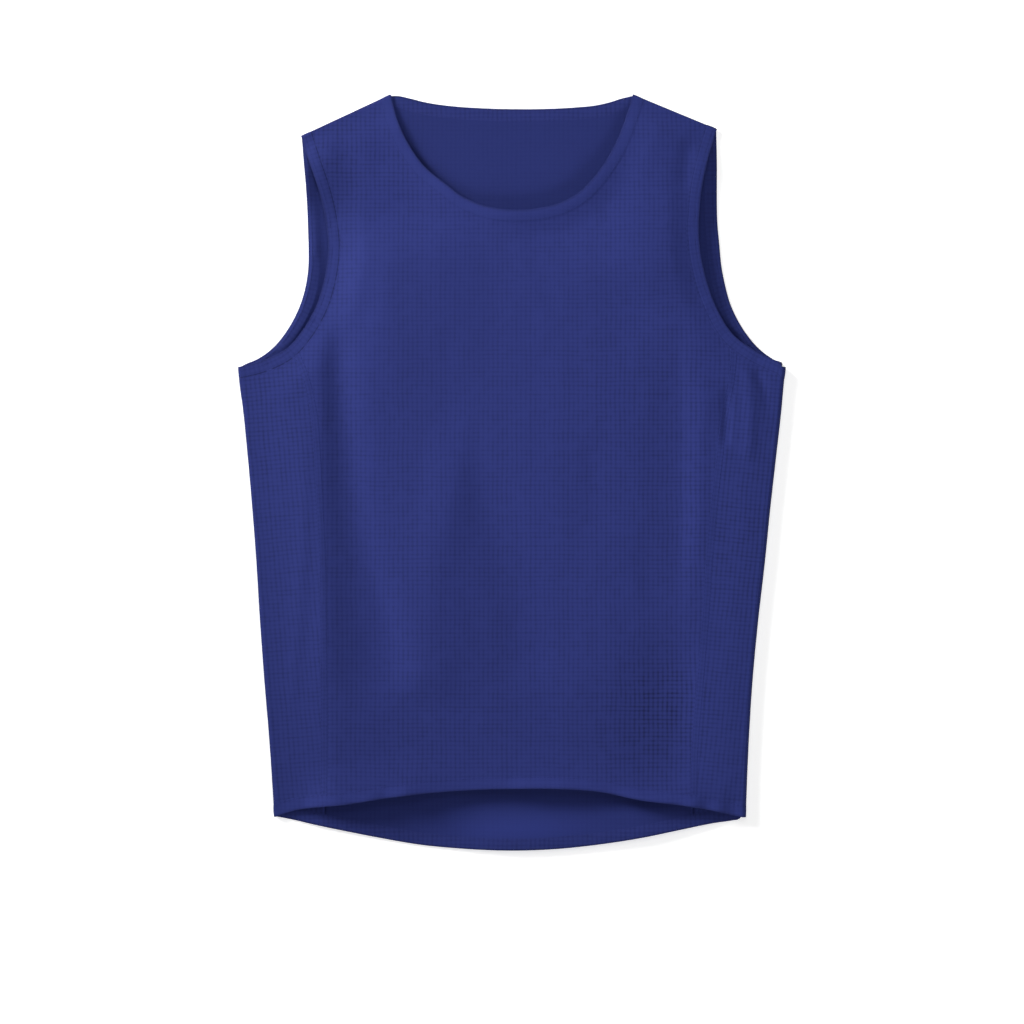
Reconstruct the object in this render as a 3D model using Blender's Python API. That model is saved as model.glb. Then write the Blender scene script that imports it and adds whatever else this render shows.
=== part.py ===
"""Sleeveless base layer laid flat on its back, front side up.

X runs across the chest, Y runs up the body from hem to neck and Z stands off the surface. Sizes in
the tables are millimetres; the finished objects are in metres. The cloth is a closed wall. The back
rests flat, the front lies on it with a little air between them, the side panels wrap round the folds
at the sides, and each binding is one ring that passes round the folds where it meets them.
"""

import math
from typing import NamedTuple

import bpy
import bmesh
import numpy as np

MM = 0.001

# Cloth
WALL = 1.2  # thickness of the cloth wall
SEAM = 0.3  # clearance between two sewn pieces
BAND = 10.0  # width of each binding and of the hem band
EDGE_ROUND = 0.35  # how far the folded free edge of a band is rounded

# Air between the front and the back layer
SIDE_GAP = 1.2  # at the folds of the side panels
SHOULDER_GAP = 0.3  # where front and back are sewn at the shoulder
EDGE_GAP = 1.9  # at the free edges of neck, armholes and hem
BODY_GAP = 2.4  # inside the body
LEAST_GAP = 0.35
MOST_GAP = 3.9
SIDE_SETTLE = 16.0  # distances over which the front sinks to those values
SHOULDER_SETTLE = 22.0
EDGE_SETTLE = 24.0

# Divisions
ARM_STEPS = 16  # front armhole, side seam to shoulder
BACK_ARM_STEPS = 12
SIDE_STEPS = 20  # rows of a side seam
FLANK_STEPS = 5  # columns between a side fold and a side seam
SHOULDER_STEPS = 5
NECK_STEPS = 28
BACK_NECK_STEPS = 16
FOLD_TURNS = 5  # flats round a fold


class LevelRow(NamedTuple):
    """One level of the body: the left and the right position across."""

    up: float
    left: float
    right: float


class ArmholeRow(NamedTuple):
    """One level of the armholes: edge positions across, for the back and the front layer."""

    up: float
    back_left: float
    front_left: float
    front_right: float
    back_right: float


class EdgeRow(NamedTuple):
    """One position across: the level of the front edge and of the back edge there."""

    across: float
    front_up: float
    back_up: float


class Fold(NamedTuple):
    """A ridge (positive height) or a trough through three points, with its half width."""

    name: str
    start: tuple
    middle: tuple
    end: tuple
    height: float
    half_width: float


SIDE_ROWS = (  # outline of the body at the side folds, underarm corner to hem corner
    LevelRow(82.5, -219.0, 219.0),
    LevelRow(77.0, -218.5, 218.0),
    LevelRow(50.0, -215.0, 215.5),
    LevelRow(10.0, -211.0, 211.0),
    LevelRow(-30.0, -207.5, 206.5),
    LevelRow(-70.0, -204.5, 202.5),
    LevelRow(-118.0, -201.5, 197.0),
    LevelRow(-166.0, -198.0, 192.5),
    LevelRow(-214.0, -194.0, 189.5),
    LevelRow(-275.0, -190.0, 187.0),
)

SEAM_ROWS = (  # seams between the side panels and the front or back
    LevelRow(104.0, -176.0, 177.5),
    LevelRow(94.0, -171.5, 177.0),
    LevelRow(77.0, -164.5, 175.5),
    LevelRow(50.0, -158.0, 170.5),
    LevelRow(10.0, -154.5, 165.5),
    LevelRow(-30.0, -152.5, 161.0),
    LevelRow(-70.0, -150.5, 157.5),
    LevelRow(-118.0, -150.0, 154.5),
    LevelRow(-166.0, -149.5, 150.5),
    LevelRow(-214.0, -149.5, 146.5),
    LevelRow(-285.0, -149.5, 144.0),
)

ARMHOLE_ROWS = (
    ArmholeRow(90.0, -204.5, -196.5, 208.0, 210.0),
    ArmholeRow(99.5, -191.0, -179.0, 190.0, 197.0),
    ArmholeRow(110.0, -182.0, -169.5, 176.5, 188.0),
    ArmholeRow(122.0, -174.5, -161.5, 168.0, 180.5),
    ArmholeRow(134.0, -169.0, -155.5, 162.0, 175.0),
    ArmholeRow(150.0, -164.5, -150.5, 156.0, 170.5),
    ArmholeRow(166.0, -162.5, -147.5, 152.0, 167.5),
    ArmholeRow(182.0, -162.5, -146.5, 149.5, 166.0),
    ArmholeRow(198.0, -163.0, -148.0, 149.0, 164.5),
    ArmholeRow(214.0, -163.5, -151.0, 150.0, 164.0),
    ArmholeRow(230.0, -164.5, -155.5, 152.0, 164.0),
    ArmholeRow(246.0, -166.0, -161.0, 155.5, 164.0),
)

NECK_ROWS = (
    EdgeRow(-91.0, 280.5, 301.0),
    EdgeRow(-81.5, 260.5, 299.0),
    EdgeRow(-69.5, 244.0, 296.0),
    EdgeRow(-54.0, 231.0, 293.5),
    EdgeRow(-38.0, 219.0, 292.0),
    EdgeRow(-19.0, 211.5, 291.0),
    EdgeRow(0.0, 209.0, 290.5),
    EdgeRow(19.5, 210.0, 290.5),
    EdgeRow(37.0, 214.0, 291.0),
    EdgeRow(53.0, 222.5, 292.0),
    EdgeRow(67.5, 237.5, 293.5),
    EdgeRow(78.5, 254.0, 296.0),
    EdgeRow(88.0, 274.5, 299.0),
)

HEM_ROWS = (
    EdgeRow(-177.5, -271.0, -277.0),
    EdgeRow(-157.5, -267.0, -281.5),
    EdgeRow(-133.5, -264.5, -286.5),
    EdgeRow(-105.5, -260.0, -292.0),
    EdgeRow(-73.5, -256.0, -297.5),
    EdgeRow(-41.5, -253.5, -300.5),
    EdgeRow(-1.5, -252.0, -302.0),
    EdgeRow(38.5, -252.0, -300.5),
    EdgeRow(70.5, -254.5, -297.0),
    EdgeRow(102.5, -261.0, -292.0),
    EdgeRow(134.5, -265.0, -285.5),
    EdgeRow(162.5, -270.0, -280.0),
    EdgeRow(176.0, -273.5, -278.0),
)

SHOULDER_TIP = {"left": (-168.5, 269.0), "right": (164.0, 274.5)}
NECK_POINT = {"left": (-97.0, 302.2), "right": (97.0, 302.2)}

FOLDS = (
    Fold("left_trough", (-141.0, 130.0), (-132.0, -44.0), (-108.0, -190.0), -1.6, 7.0),
    Fold("left_ridge", (-124.0, 190.0), (-98.0, 30.0), (-66.0, -130.0), 1.2, 13.0),
    Fold("seam_ridge", (-154.0, 134.0), (-149.5, 90.0), (-146.0, 42.0), 0.9, 5.0),
    Fold("flank_ridge", (-165.5, 78.0), (-170.0, -90.0), (-187.0, -252.0), 1.2, 8.0),
    Fold("centre_ridge", (-34.0, 62.0), (-44.0, -12.0), (-62.0, -124.0), 1.0, 19.0),
    Fold("centre_trough", (-10.0, 34.0), (-9.0, -56.0), (-26.0, -140.0), -0.8, 13.0),
    Fold("right_trough", (127.0, 112.0), (134.0, 4.0), (129.0, -112.0), -1.3, 13.0),
    Fold("right_ridge", (151.0, 92.0), (154.0, 2.0), (148.0, -84.0), 1.1, 7.0),
    Fold("armpit_crease", (193.0, 87.0), (200.0, 66.0), (206.0, 42.0), -0.8, 5.0),
    Fold("armpit_ridge", (186.0, 90.0), (190.0, 52.0), (188.0, 2.0), 0.7, 5.0),
    Fold("hip_hollow", (124.0, -124.0), (138.0, -186.0), (140.0, -250.0), -1.1, 24.0),
    Fold("neck_swell", (72.0, 226.0), (84.0, 188.0), (82.0, 140.0), 0.8, 18.0),
    Fold("left_shoulder_crease", (-152.0, 264.0), (-123.0, 251.0), (-96.0, 236.0), -0.7, 6.0),
    Fold("right_shoulder_crease", (144.0, 272.0), (141.0, 250.0), (137.0, 222.0), -0.9, 6.0),
)


class Finish(NamedTuple):
    """Colour, roughness and metallic value of a knit."""

    name: str
    colour: tuple
    roughness: float
    metallic: float


MESH_KNIT = Finish("mesh_knit", (0.030, 0.041, 0.180), 0.85, 0.0)
BACK_KNIT = Finish("back_knit", (0.027, 0.037, 0.165), 0.88, 0.0)
SIDE_KNIT = Finish("side_knit", (0.029, 0.040, 0.175), 0.85, 0.0)
BINDING_KNIT = Finish("binding_knit", (0.032, 0.044, 0.195), 0.78, 0.0)
HEM_KNIT = Finish("hem_knit", (0.031, 0.043, 0.190), 0.80, 0.0)


def ease(share):
    """Smooth step from 0 to 1."""
    share = min(max(share, 0.0), 1.0)
    return share * share * (3.0 - 2.0 * share)


def unit(vector):
    """The vector at length one."""
    vector = np.asarray(vector, float)
    return vector / np.linalg.norm(vector)


def turned(vector, hand):
    """The vector turned a quarter turn: clockwise for hand 1, the other way for hand -1."""
    return hand * np.array((vector[1], -vector[0]))


class Path:
    """A smooth plan curve through points, measured by its length."""

    def __init__(self, points, per_span=16):
        knots = np.asarray(points, float)
        chords = np.linalg.norm(np.diff(knots, axis=0), axis=1)
        at = np.concatenate(([0.0], np.cumsum(chords)))
        slopes = np.gradient(knots, at, axis=0, edge_order=1)
        dense = []
        for k in range(len(knots) - 1):
            span = at[k + 1] - at[k]
            for share in np.linspace(0.0, 1.0, per_span, endpoint=False):
                s2, s3 = share * share, share**3
                dense.append(
                    (2 * s3 - 3 * s2 + 1) * knots[k]
                    + (s3 - 2 * s2 + share) * span * slopes[k]
                    + (3 * s2 - 2 * s3) * knots[k + 1]
                    + (s3 - s2) * span * slopes[k + 1]
                )
        dense.append(knots[-1])
        self.points = np.array(dense)
        steps = np.linalg.norm(np.diff(self.points, axis=0), axis=1)
        self.arc = np.concatenate(([0.0], np.cumsum(steps)))
        self.length = self.arc[-1]

    def at(self, s):
        """Point at distance s along the curve."""
        return np.array([np.interp(s, self.arc, self.points[:, k]) for k in (0, 1)])

    def along(self, s):
        """Direction of travel at distance s."""
        low, high = max(s - 1.5, 0.0), min(s + 1.5, self.length)
        return unit(self.at(high) - self.at(low))

    def distance(self, point):
        """Distance from a plan point to the curve."""
        return float(np.min(np.linalg.norm(self.points - point, axis=1)))


class LevelCurve:
    """A curve read by its level: x as a smooth function of y."""

    def __init__(self, rows, side, inset):
        points = [(getattr(row, side) + inset, row.up) for row in rows]
        self.path = Path(points)
        self.ups = self.path.points[::-1, 1]
        self.across = self.path.points[::-1, 0]

    def x(self, y):
        """Position across at level y."""
        return float(np.interp(y, self.ups, self.across))

    def point(self, y):
        """Plan point at level y."""
        return np.array((self.x(y), y))

    def down(self, y):
        """Unit direction down the curve at level y."""
        return unit(self.point(y - 5.0) - self.point(y + 5.0))


SIDE_RADIUS = SIDE_GAP / 2 + WALL
SHOULDER_RADIUS = SHOULDER_GAP / 2 + WALL
INWARD = {"left": 1.0, "right": -1.0}
SIDE_FOLD = {side: LevelCurve(SIDE_ROWS, side, INWARD[side] * SIDE_RADIUS) for side in INWARD}
SIDE_SEAM = {side: LevelCurve(SEAM_ROWS, side, 0.0) for side in INWARD}
UNDERARM = {side: SIDE_FOLD[side].point(SIDE_ROWS[0].up) for side in INWARD}
HEM_CORNER = {side: SIDE_FOLD[side].point(SIDE_ROWS[-1].up) for side in INWARD}


def shoulder_line(side):
    """Tip, neck point and outward direction of the shoulder fold's axis."""
    tip, neck = np.array(SHOULDER_TIP[side]), np.array(NECK_POINT[side])
    outward = turned(unit(neck - tip), -INWARD[side])
    return tip - outward * SHOULDER_RADIUS, neck - outward * SHOULDER_RADIUS, outward


SHOULDER = {side: shoulder_line(side) for side in INWARD}


class Edge(Path):
    """A free edge of the garment, with the direction into the cloth at each place on it."""

    def __init__(self, points, hand, start_width, end_width, blend):
        super().__init__(points)
        self.hand = hand
        self.start_width = unit(start_width)
        self.end_width = unit(end_width)
        self.blend = blend

    def width(self, s):
        """Unit direction from the edge into the cloth at distance s."""
        own = turned(self.along(s), self.hand)
        start = 1.0 - ease(s / self.blend)
        end = 1.0 - ease((self.length - s) / self.blend)
        return unit(own * (1.0 - start - end) + self.start_width * start + self.end_width * end)

    def inner(self, s, depth):
        """Plan point at the given depth inside the edge."""
        return self.at(s) + self.width(s) * depth


def armhole_edge(side, layer):
    """Armhole edge of one layer, from the underarm fold to the shoulder fold."""
    tip, neck, _ = SHOULDER[side]
    column = f"{layer}_{side}"
    rows = [(getattr(row, column), row.up) for row in ARMHOLE_ROWS]
    start = SIDE_FOLD[side].down(SIDE_ROWS[0].up - 8.0)
    return Edge([UNDERARM[side], *rows, tip], INWARD[side], start, neck - tip, 22.0)


def neck_edge(layer):
    """Neck edge of one layer, from the left shoulder fold to the right one."""
    ends = [SHOULDER[side][1] for side in INWARD]
    widths = [SHOULDER[side][0] - SHOULDER[side][1] for side in INWARD]
    rows = [(row.across, getattr(row, f"{layer}_up")) for row in NECK_ROWS]
    return Edge([ends[0], *rows, ends[1]], 1.0, widths[0], widths[1], 18.0)


def hem_edge(layer):
    """Hem edge of one layer, from the left side fold to the right one."""
    rows = [(row.across, getattr(row, f"{layer}_up")) for row in HEM_ROWS]
    widths = [-SIDE_FOLD[side].down(SIDE_ROWS[-1].up + 8.0) for side in INWARD]
    ends = [HEM_CORNER["left"], *rows, HEM_CORNER["right"]]
    return Edge(ends, -1.0, widths[0], widths[1], 20.0)


ARMHOLE = {(s, layer): armhole_edge(s, layer) for s in INWARD for layer in ("front", "back")}
NECK = {layer: neck_edge(layer) for layer in ("front", "back")}
HEM = {layer: hem_edge(layer) for layer in ("front", "back")}
FOLD_PATHS = [(fold, Path([fold.start, fold.middle, fold.end])) for fold in FOLDS]
FREE_EDGES = (ARMHOLE["left", "front"], ARMHOLE["right", "front"], NECK["front"], HEM["front"])


def relief(point):
    """Height that the folds add to the front layer at a plan point."""
    total = 0.0
    for fold, path in FOLD_PATHS:
        away = np.linalg.norm(path.points - point, axis=1)
        nearest = int(np.argmin(away))
        share = path.arc[nearest] / path.length
        fade = ease(share / 0.25) * ease((1.0 - share) / 0.25)
        total += fold.height * fade * math.exp(-((away[nearest] / fold.half_width) ** 2))
    return total


def front_gap(point):
    """Air between the back layer and the front layer at a plan point."""
    x, y = point
    edge = min(path.distance(point) for path in FREE_EDGES)
    lifted = ease(edge / EDGE_SETTLE)
    gap = EDGE_GAP + (BODY_GAP - EDGE_GAP) * lifted + relief(point) * (0.4 + 0.6 * lifted)
    gap = min(max(gap, LEAST_GAP), MOST_GAP)
    for side in INWARD:
        over = max(y - UNDERARM[side][1], 0.0)
        level = min(max(y, SIDE_ROWS[-1].up), SIDE_ROWS[0].up)
        aside = math.hypot(x - SIDE_FOLD[side].x(level), over)
        gap = SIDE_GAP + (gap - SIDE_GAP) * ease(aside / SIDE_SETTLE)
    for side in INWARD:
        tip, neck, outward = SHOULDER[side]
        if INWARD[side] * x < 0.0:
            below = max(float(np.dot(tip - point, outward)), 0.0)
            gap = SHOULDER_GAP + (gap - SHOULDER_GAP) * ease(below / SHOULDER_SETTLE)
    return gap


class Spot(NamedTuple):
    """A place on the garment: a plan point on the front or back, or on a fold between them."""

    place: np.ndarray
    layer: str
    outward: np.ndarray = np.zeros(2)
    turn: float = 0.0
    gap: float = 0.0


class Station(NamedTuple):
    """A place along a band, with the direction into the cloth."""

    spot: Spot
    width: np.ndarray


def cloth_point(spot, level):
    """Point of the cloth in metres, at level 0 on its inside and level 1 on its outside."""
    x, y = spot.place
    if spot.layer == "front":
        z = WALL + front_gap(spot.place) + level * WALL
    elif spot.layer == "back":
        z = WALL - level * WALL
    else:
        radius = spot.gap / 2 + level * WALL
        x, y = spot.place + spot.outward * radius * math.cos(spot.turn)
        z = WALL + spot.gap / 2 + radius * math.sin(spot.turn)
    return np.array((x, y, z)) * MM


def band_stations(edge, layer, distances):
    """Stations of a band at distances along an edge."""
    return [Station(Spot(edge.at(s), layer), edge.width(s)) for s in distances]


def fold_stations(place, width, outward, gap, from_front):
    """Stations round a fold, without those at its two ends."""
    turns = np.linspace(90.0, -90.0, FOLD_TURNS + 1)[1:-1]
    turns = turns if from_front else turns[::-1]
    return [Station(Spot(place, "fold", outward, math.radians(t), gap), width) for t in turns]


def seam_distance(edge, side, from_end=False):
    """Distance along an edge at which its band's inner line meets the side seam."""
    samples = np.linspace(4.0, edge.length * 0.6, 600)
    if from_end:
        samples = edge.length - samples
    for s in samples:
        x, y = edge.inner(s, BAND)
        if INWARD[side] * (x - SIDE_SEAM[side].x(y)) >= 0.0:
            return float(s)
    raise ValueError(f"no seam on this edge, {side}")


def spread(start, end, steps, weights=None):
    """Distances from start to end in the given steps, evenly or by shares."""
    shares = np.linspace(0.0, 1.0, steps + 1) if weights is None else np.asarray(weights)
    return start + (end - start) * shares


def new_object(name, points, quads, finish):
    """A mesh object with outward faces and its own material."""
    mesh = bpy.data.meshes.new(name)
    work = bmesh.new()
    corners = [work.verts.new(tuple(point)) for point in points]
    for quad in quads:
        work.faces.new([corners[k] for k in quad])
    bmesh.ops.recalc_face_normals(work, faces=work.faces)
    for face in work.faces:
        face.smooth = True
    work.to_mesh(mesh)
    work.free()
    mesh.set_sharp_from_angle(angle=math.radians(40.0))
    material = bpy.data.materials.new(finish.name)
    material.use_nodes = True
    shader = material.node_tree.nodes["Principled BSDF"]
    shader.inputs["Base Color"].default_value = (*finish.colour, 1.0)
    shader.inputs["Roughness"].default_value = finish.roughness
    shader.inputs["Metallic"].default_value = finish.metallic
    mesh.materials.append(material)
    made = bpy.data.objects.new(name, mesh)
    bpy.context.scene.collection.objects.link(made)
    return made


def wall(name, grid, finish):
    """A closed wall over a grid of spots, given as rows."""
    rows, columns = len(grid), len(grid[0])
    points = [cloth_point(spot, level) for level in (0.0, 1.0) for row in grid for spot in row]
    side = rows * columns

    def at(row, column, outer):
        return outer * side + row * columns + column

    quads = []
    for i in range(rows - 1):
        for j in range(columns - 1):
            for outer in (0, 1):
                quads.append((at(i, j, outer), at(i, j + 1, outer), at(i + 1, j + 1, outer),
                              at(i + 1, j, outer)))
    rim = [(0, j) for j in range(columns - 1)]
    rim += [(i, columns - 1) for i in range(rows - 1)]
    rim += [(rows - 1, j) for j in range(columns - 1, 0, -1)]
    rim += [(i, 0) for i in range(rows - 1, 0, -1)]
    for a, b in zip(rim, rim[1:] + rim[:1]):
        quads.append((at(*a, 0), at(*b, 0), at(*b, 1), at(*a, 1)))
    return new_object(name, points, quads, finish)


def band_ring(name, stations, finish):
    """A closed band through a ring of stations, with its free edge rounded."""
    inner = BAND - SEAM / 2
    section = ((0.0, 0.5), (EDGE_ROUND, 1.0), (inner, 1.0), (inner, 0.0), (EDGE_ROUND, 0.0))
    points = []
    for station in stations:
        for depth, level in section:
            moved = station.spot._replace(place=station.spot.place + station.width * depth)
            points.append(cloth_point(moved, level))
    count, ring = len(section), len(stations)
    quads = []
    for i in range(ring):
        after = (i + 1) % ring
        for k in range(count):
            up = (k + 1) % count
            quads.append((i * count + k, i * count + up, after * count + up, after * count + k))
    return new_object(name, points, quads, finish)


def patch(bottom, top, left, right, columns, rows):
    """Plan points spread between four boundaries that share their corners, row by row."""
    grid = []
    for v, low, high in zip(rows, left, right):
        line = []
        for u, base, head in zip(columns, bottom, top):
            corners = (1 - v) * ((1 - u) * bottom[0] + u * bottom[-1])
            corners = corners + v * ((1 - u) * top[0] + u * top[-1])
            line.append((1 - v) * base + v * head + (1 - u) * low + u * high - corners)
        grid.append(line)
    return grid


def shares(points):
    """Share of a polyline's length at each of its points."""
    steps = np.linalg.norm(np.diff(np.array(points), axis=0), axis=1)
    return np.concatenate(([0.0], np.cumsum(steps))) / steps.sum()


class Layout:
    """Where the seams divide the edges of one layer, shared by the panels and the bands."""

    def __init__(self, layer, arm_steps, neck_steps):
        self.layer = layer
        self.depth = BAND + SEAM / 2
        self.hem = HEM[layer]
        self.neck = NECK[layer]
        self.arm = {side: ARMHOLE[side, layer] for side in INWARD}
        self.arm_seam = {side: seam_distance(self.arm[side], side) for side in INWARD}
        self.hem_seam = {
            "left": seam_distance(self.hem, "left"),
            "right": seam_distance(self.hem, "right", from_end=True),
        }
        self.neck_at = spread(0.0, self.neck.length, neck_steps)
        self.arm_at = {}
        self.flank_at = {}
        for side in INWARD:
            end = self.arm[side].length
            self.arm_at[side] = spread(self.arm_seam[side], end, arm_steps)
            self.flank_at[side] = spread(0.0, self.arm_seam[side], FLANK_STEPS)
        top_x = [point[0] for point in self.top_line()]
        even = np.linspace(0.0, 1.0, len(top_x))
        drawn = (np.array(top_x) - top_x[0]) / (top_x[-1] - top_x[0])
        self.columns = 0.7 * drawn + 0.3 * even
        low, high = self.hem_seam["left"], self.hem_seam["right"]
        self.hem_at = spread(low, high, len(top_x) - 1, self.columns)
        self.hem_flank_at = {
            "left": spread(0.0, low, FLANK_STEPS),
            "right": spread(self.hem.length, high, FLANK_STEPS),
        }

    def top_line(self):
        """Shoulder, neck seam, shoulder: the panel's upper boundary from left to right."""
        neck = [self.neck.inner(s, self.depth) for s in self.neck_at]
        tips = [self.arm[side].inner(self.arm[side].length, self.depth) for side in INWARD]
        steps = np.linspace(0.0, 1.0, SHOULDER_STEPS + 1)
        first = [tips[0] + (neck[0] - tips[0]) * share for share in steps[:-1]]
        last = [neck[-1] + (tips[1] - neck[-1]) * share for share in steps[1:]]
        return first + neck + last

    def seam_line(self, side, aside):
        """A side seam from hem to armhole; aside moves it towards the body's middle."""
        low = self.hem.inner(self.hem_seam[side], self.depth)
        high = self.arm[side].inner(self.arm_seam[side], self.depth)
        shift = np.array((INWARD[side] * aside, 0.0))
        levels = np.linspace(low[1], high[1], SIDE_STEPS + 1)
        inner = [SIDE_SEAM[side].point(level) for level in levels[1:-1]]
        return [point + shift for point in (low, *inner, high)]

    def body_side(self, side):
        """Side seam and armhole seam of a panel, from hem to shoulder."""
        arm = [self.arm[side].inner(s, self.depth) for s in self.arm_at[side]]
        return self.seam_line(side, SEAM / 2) + arm[1:]

    def panel(self):
        """Grid of spots of the front or back panel."""
        left, right = self.body_side("left"), self.body_side("right")
        bottom = [self.hem.inner(s, self.depth) for s in self.hem_at]
        bottom[0], bottom[-1] = left[0], right[0]
        rows = (shares(left) + shares(right)) / 2
        plan = patch(bottom, self.top_line(), left, right, self.columns, rows)
        return [[Spot(point, self.layer) for point in row] for row in plan]

    def flank(self, side):
        """Plan grid from a side fold to the side seam, rows from hem to armhole."""
        seam = self.seam_line(side, -SEAM / 2)
        bottom = [self.hem.inner(s, self.depth) for s in self.hem_flank_at[side]]
        top = [self.arm[side].inner(s, self.depth) for s in self.flank_at[side]]
        bottom[-1], top[-1] = seam[0], seam[-1]
        levels = np.linspace(bottom[0][1], top[0][1], SIDE_STEPS + 1)
        fold = [SIDE_FOLD[side].point(level) for level in levels]
        fold[0], fold[-1] = bottom[0], top[0]
        even = np.linspace(0.0, 1.0, FLANK_STEPS + 1)
        return patch(bottom, top, fold, seam, even, np.linspace(0.0, 1.0, SIDE_STEPS + 1))


def side_panel(side, front, back):
    """Grid of spots from the front seam, round the side fold, to the back seam."""
    grid = []
    for above, below in zip(front.flank(side), back.flank(side)):
        row = [Spot(point, "front") for point in above[::-1]]
        across = (above[0] + below[0]) / 2
        down = SIDE_FOLD[side].down(float(np.clip(across[1], -262.0, 70.0)))
        outward = turned(down, INWARD[side])
        for k, turn in enumerate(np.linspace(90.0, -90.0, FOLD_TURNS + 1)[1:-1]):
            share = (k + 1) / FOLD_TURNS
            place = above[0] + (below[0] - above[0]) * share
            row.append(Spot(place, "fold", outward, math.radians(turn), SIDE_GAP))
        row += [Spot(point, "back") for point in below]
        grid.append(row)
    return grid


def armhole_ring(side, front, back):
    """Stations of an armhole binding: up the front, round the shoulder, down the back."""
    tip, neck, outward = SHOULDER[side]
    over_front = [*front.flank_at[side], *front.arm_at[side][1:]]
    over_back = [*back.flank_at[side], *back.arm_at[side][1:]]
    down = SIDE_FOLD[side].down(SIDE_ROWS[0].up - 8.0)
    ring = band_stations(front.arm[side], "front", over_front)
    ring += fold_stations(tip, unit(neck - tip), outward, SHOULDER_GAP, True)
    ring += band_stations(back.arm[side], "back", over_back[::-1])
    aside = turned(down, INWARD[side])
    return ring + fold_stations(UNDERARM[side], down, aside, SIDE_GAP, False)


def neck_ring(front, back):
    """Stations of the neck binding: along the front scoop and back along the back neck."""
    ring = band_stations(front.neck, "front", front.neck_at)
    tip, neck, outward = SHOULDER["right"]
    ring += fold_stations(neck, unit(tip - neck), outward, SHOULDER_GAP, True)
    ring += band_stations(back.neck, "back", back.neck_at[::-1])
    tip, neck, outward = SHOULDER["left"]
    return ring + fold_stations(neck, unit(tip - neck), outward, SHOULDER_GAP, False)


def hem_ring(front, back):
    """Stations of the hem band: along the front hem and back along the longer back hem."""
    ring = []
    for layout in (front, back):
        run = [*layout.hem_flank_at["left"], *layout.hem_at[1:]]
        run += [*layout.hem_flank_at["right"][:-1][::-1]]
        ring.append(band_stations(layout.hem, layout.layer, run))
    turns = {}
    for side in INWARD:
        up = -SIDE_FOLD[side].down(SIDE_ROWS[-1].up + 8.0)
        aside = turned(up, -INWARD[side])
        turns[side] = fold_stations(HEM_CORNER[side], up, aside, SIDE_GAP, side == "right")
    return ring[0] + turns["right"] + ring[1][::-1] + turns["left"]


def clear_scene():
    """Removes every object from the scene."""
    for old in list(bpy.data.objects):
        bpy.data.objects.remove(old, do_unlink=True)


def main():
    """Builds the eight sewn pieces."""
    clear_scene()
    front = Layout("front", ARM_STEPS, NECK_STEPS)
    back = Layout("back", BACK_ARM_STEPS, BACK_NECK_STEPS)
    wall("front_panel", front.panel(), MESH_KNIT)
    wall("back_panel", back.panel(), BACK_KNIT)
    for side in INWARD:
        wall(f"side_panel_{side}", side_panel(side, front, back), SIDE_KNIT)
        ring = armhole_ring(side, front, back)
        band_ring(f"armhole_binding_{side}", ring, BINDING_KNIT)
    band_ring("neck_binding", neck_ring(front, back), BINDING_KNIT)
    band_ring("hem_band", hem_ring(front, back), HEM_KNIT)


main()
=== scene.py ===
"""Dresses the sleeveless base layer: a sports top in fine waffle knit, laid flat with its front up.

X runs across the chest, Y from hem to neck and Z off the surface. The cut is kept in millimetres,
in the same tables as the solids have, and each finished mesh is in metres. Every piece is a thin
closed shell on its solid's form: panels, trims, flatlock seams and stitches share one relief, so
that they lie on each other wherever a crease runs.
"""

from __future__ import annotations

import logging
import math
from dataclasses import dataclass
from enum import Enum
from typing import NamedTuple, Sequence, TypeVar

import bmesh
import bpy
import numpy as np
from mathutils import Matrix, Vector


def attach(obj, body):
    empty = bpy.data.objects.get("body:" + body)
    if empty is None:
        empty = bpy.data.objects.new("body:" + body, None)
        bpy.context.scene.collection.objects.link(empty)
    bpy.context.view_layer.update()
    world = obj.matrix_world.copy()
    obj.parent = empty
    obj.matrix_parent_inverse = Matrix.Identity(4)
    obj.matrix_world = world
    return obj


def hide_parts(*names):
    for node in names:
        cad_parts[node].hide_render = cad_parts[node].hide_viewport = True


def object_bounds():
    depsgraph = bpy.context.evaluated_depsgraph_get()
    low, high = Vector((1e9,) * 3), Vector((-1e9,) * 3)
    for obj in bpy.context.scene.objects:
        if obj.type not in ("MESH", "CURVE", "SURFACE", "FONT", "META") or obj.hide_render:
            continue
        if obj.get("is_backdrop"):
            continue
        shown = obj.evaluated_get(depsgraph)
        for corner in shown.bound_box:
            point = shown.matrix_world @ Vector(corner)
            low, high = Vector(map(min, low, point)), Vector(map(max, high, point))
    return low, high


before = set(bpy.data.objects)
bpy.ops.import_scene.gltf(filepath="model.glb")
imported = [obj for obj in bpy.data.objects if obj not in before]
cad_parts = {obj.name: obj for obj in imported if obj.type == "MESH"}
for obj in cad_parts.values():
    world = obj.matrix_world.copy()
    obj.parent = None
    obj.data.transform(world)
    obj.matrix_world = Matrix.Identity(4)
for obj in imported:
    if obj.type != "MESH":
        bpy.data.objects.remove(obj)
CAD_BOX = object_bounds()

MM = 0.001
BODY = "root"
Row = TypeVar("Row")
log = logging.getLogger("base_layer")


class Side(Enum):
    """A side of the garment, as seen in the picture."""

    LEFT = "left"
    RIGHT = "right"

    @property
    def inward(self) -> float:
        """Sign of the direction from this side to the middle."""
        return 1.0 if self is Side.LEFT else -1.0


class Layer(Enum):
    """The two layers of the garment as it lies."""

    FRONT = "front"
    BACK = "back"


# --- the cut, in millimetres


class LevelRow(NamedTuple):
    """One level of the body: the left and the right position across."""

    up: float
    left: float
    right: float


class ArmholeRow(NamedTuple):
    """One level of the armholes: edge positions across, for the back and the front layer."""

    up: float
    back_left: float
    front_left: float
    front_right: float
    back_right: float


class EdgeRow(NamedTuple):
    """One position across: the level of the front edge and of the back edge there."""

    across: float
    front_up: float
    back_up: float


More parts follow.
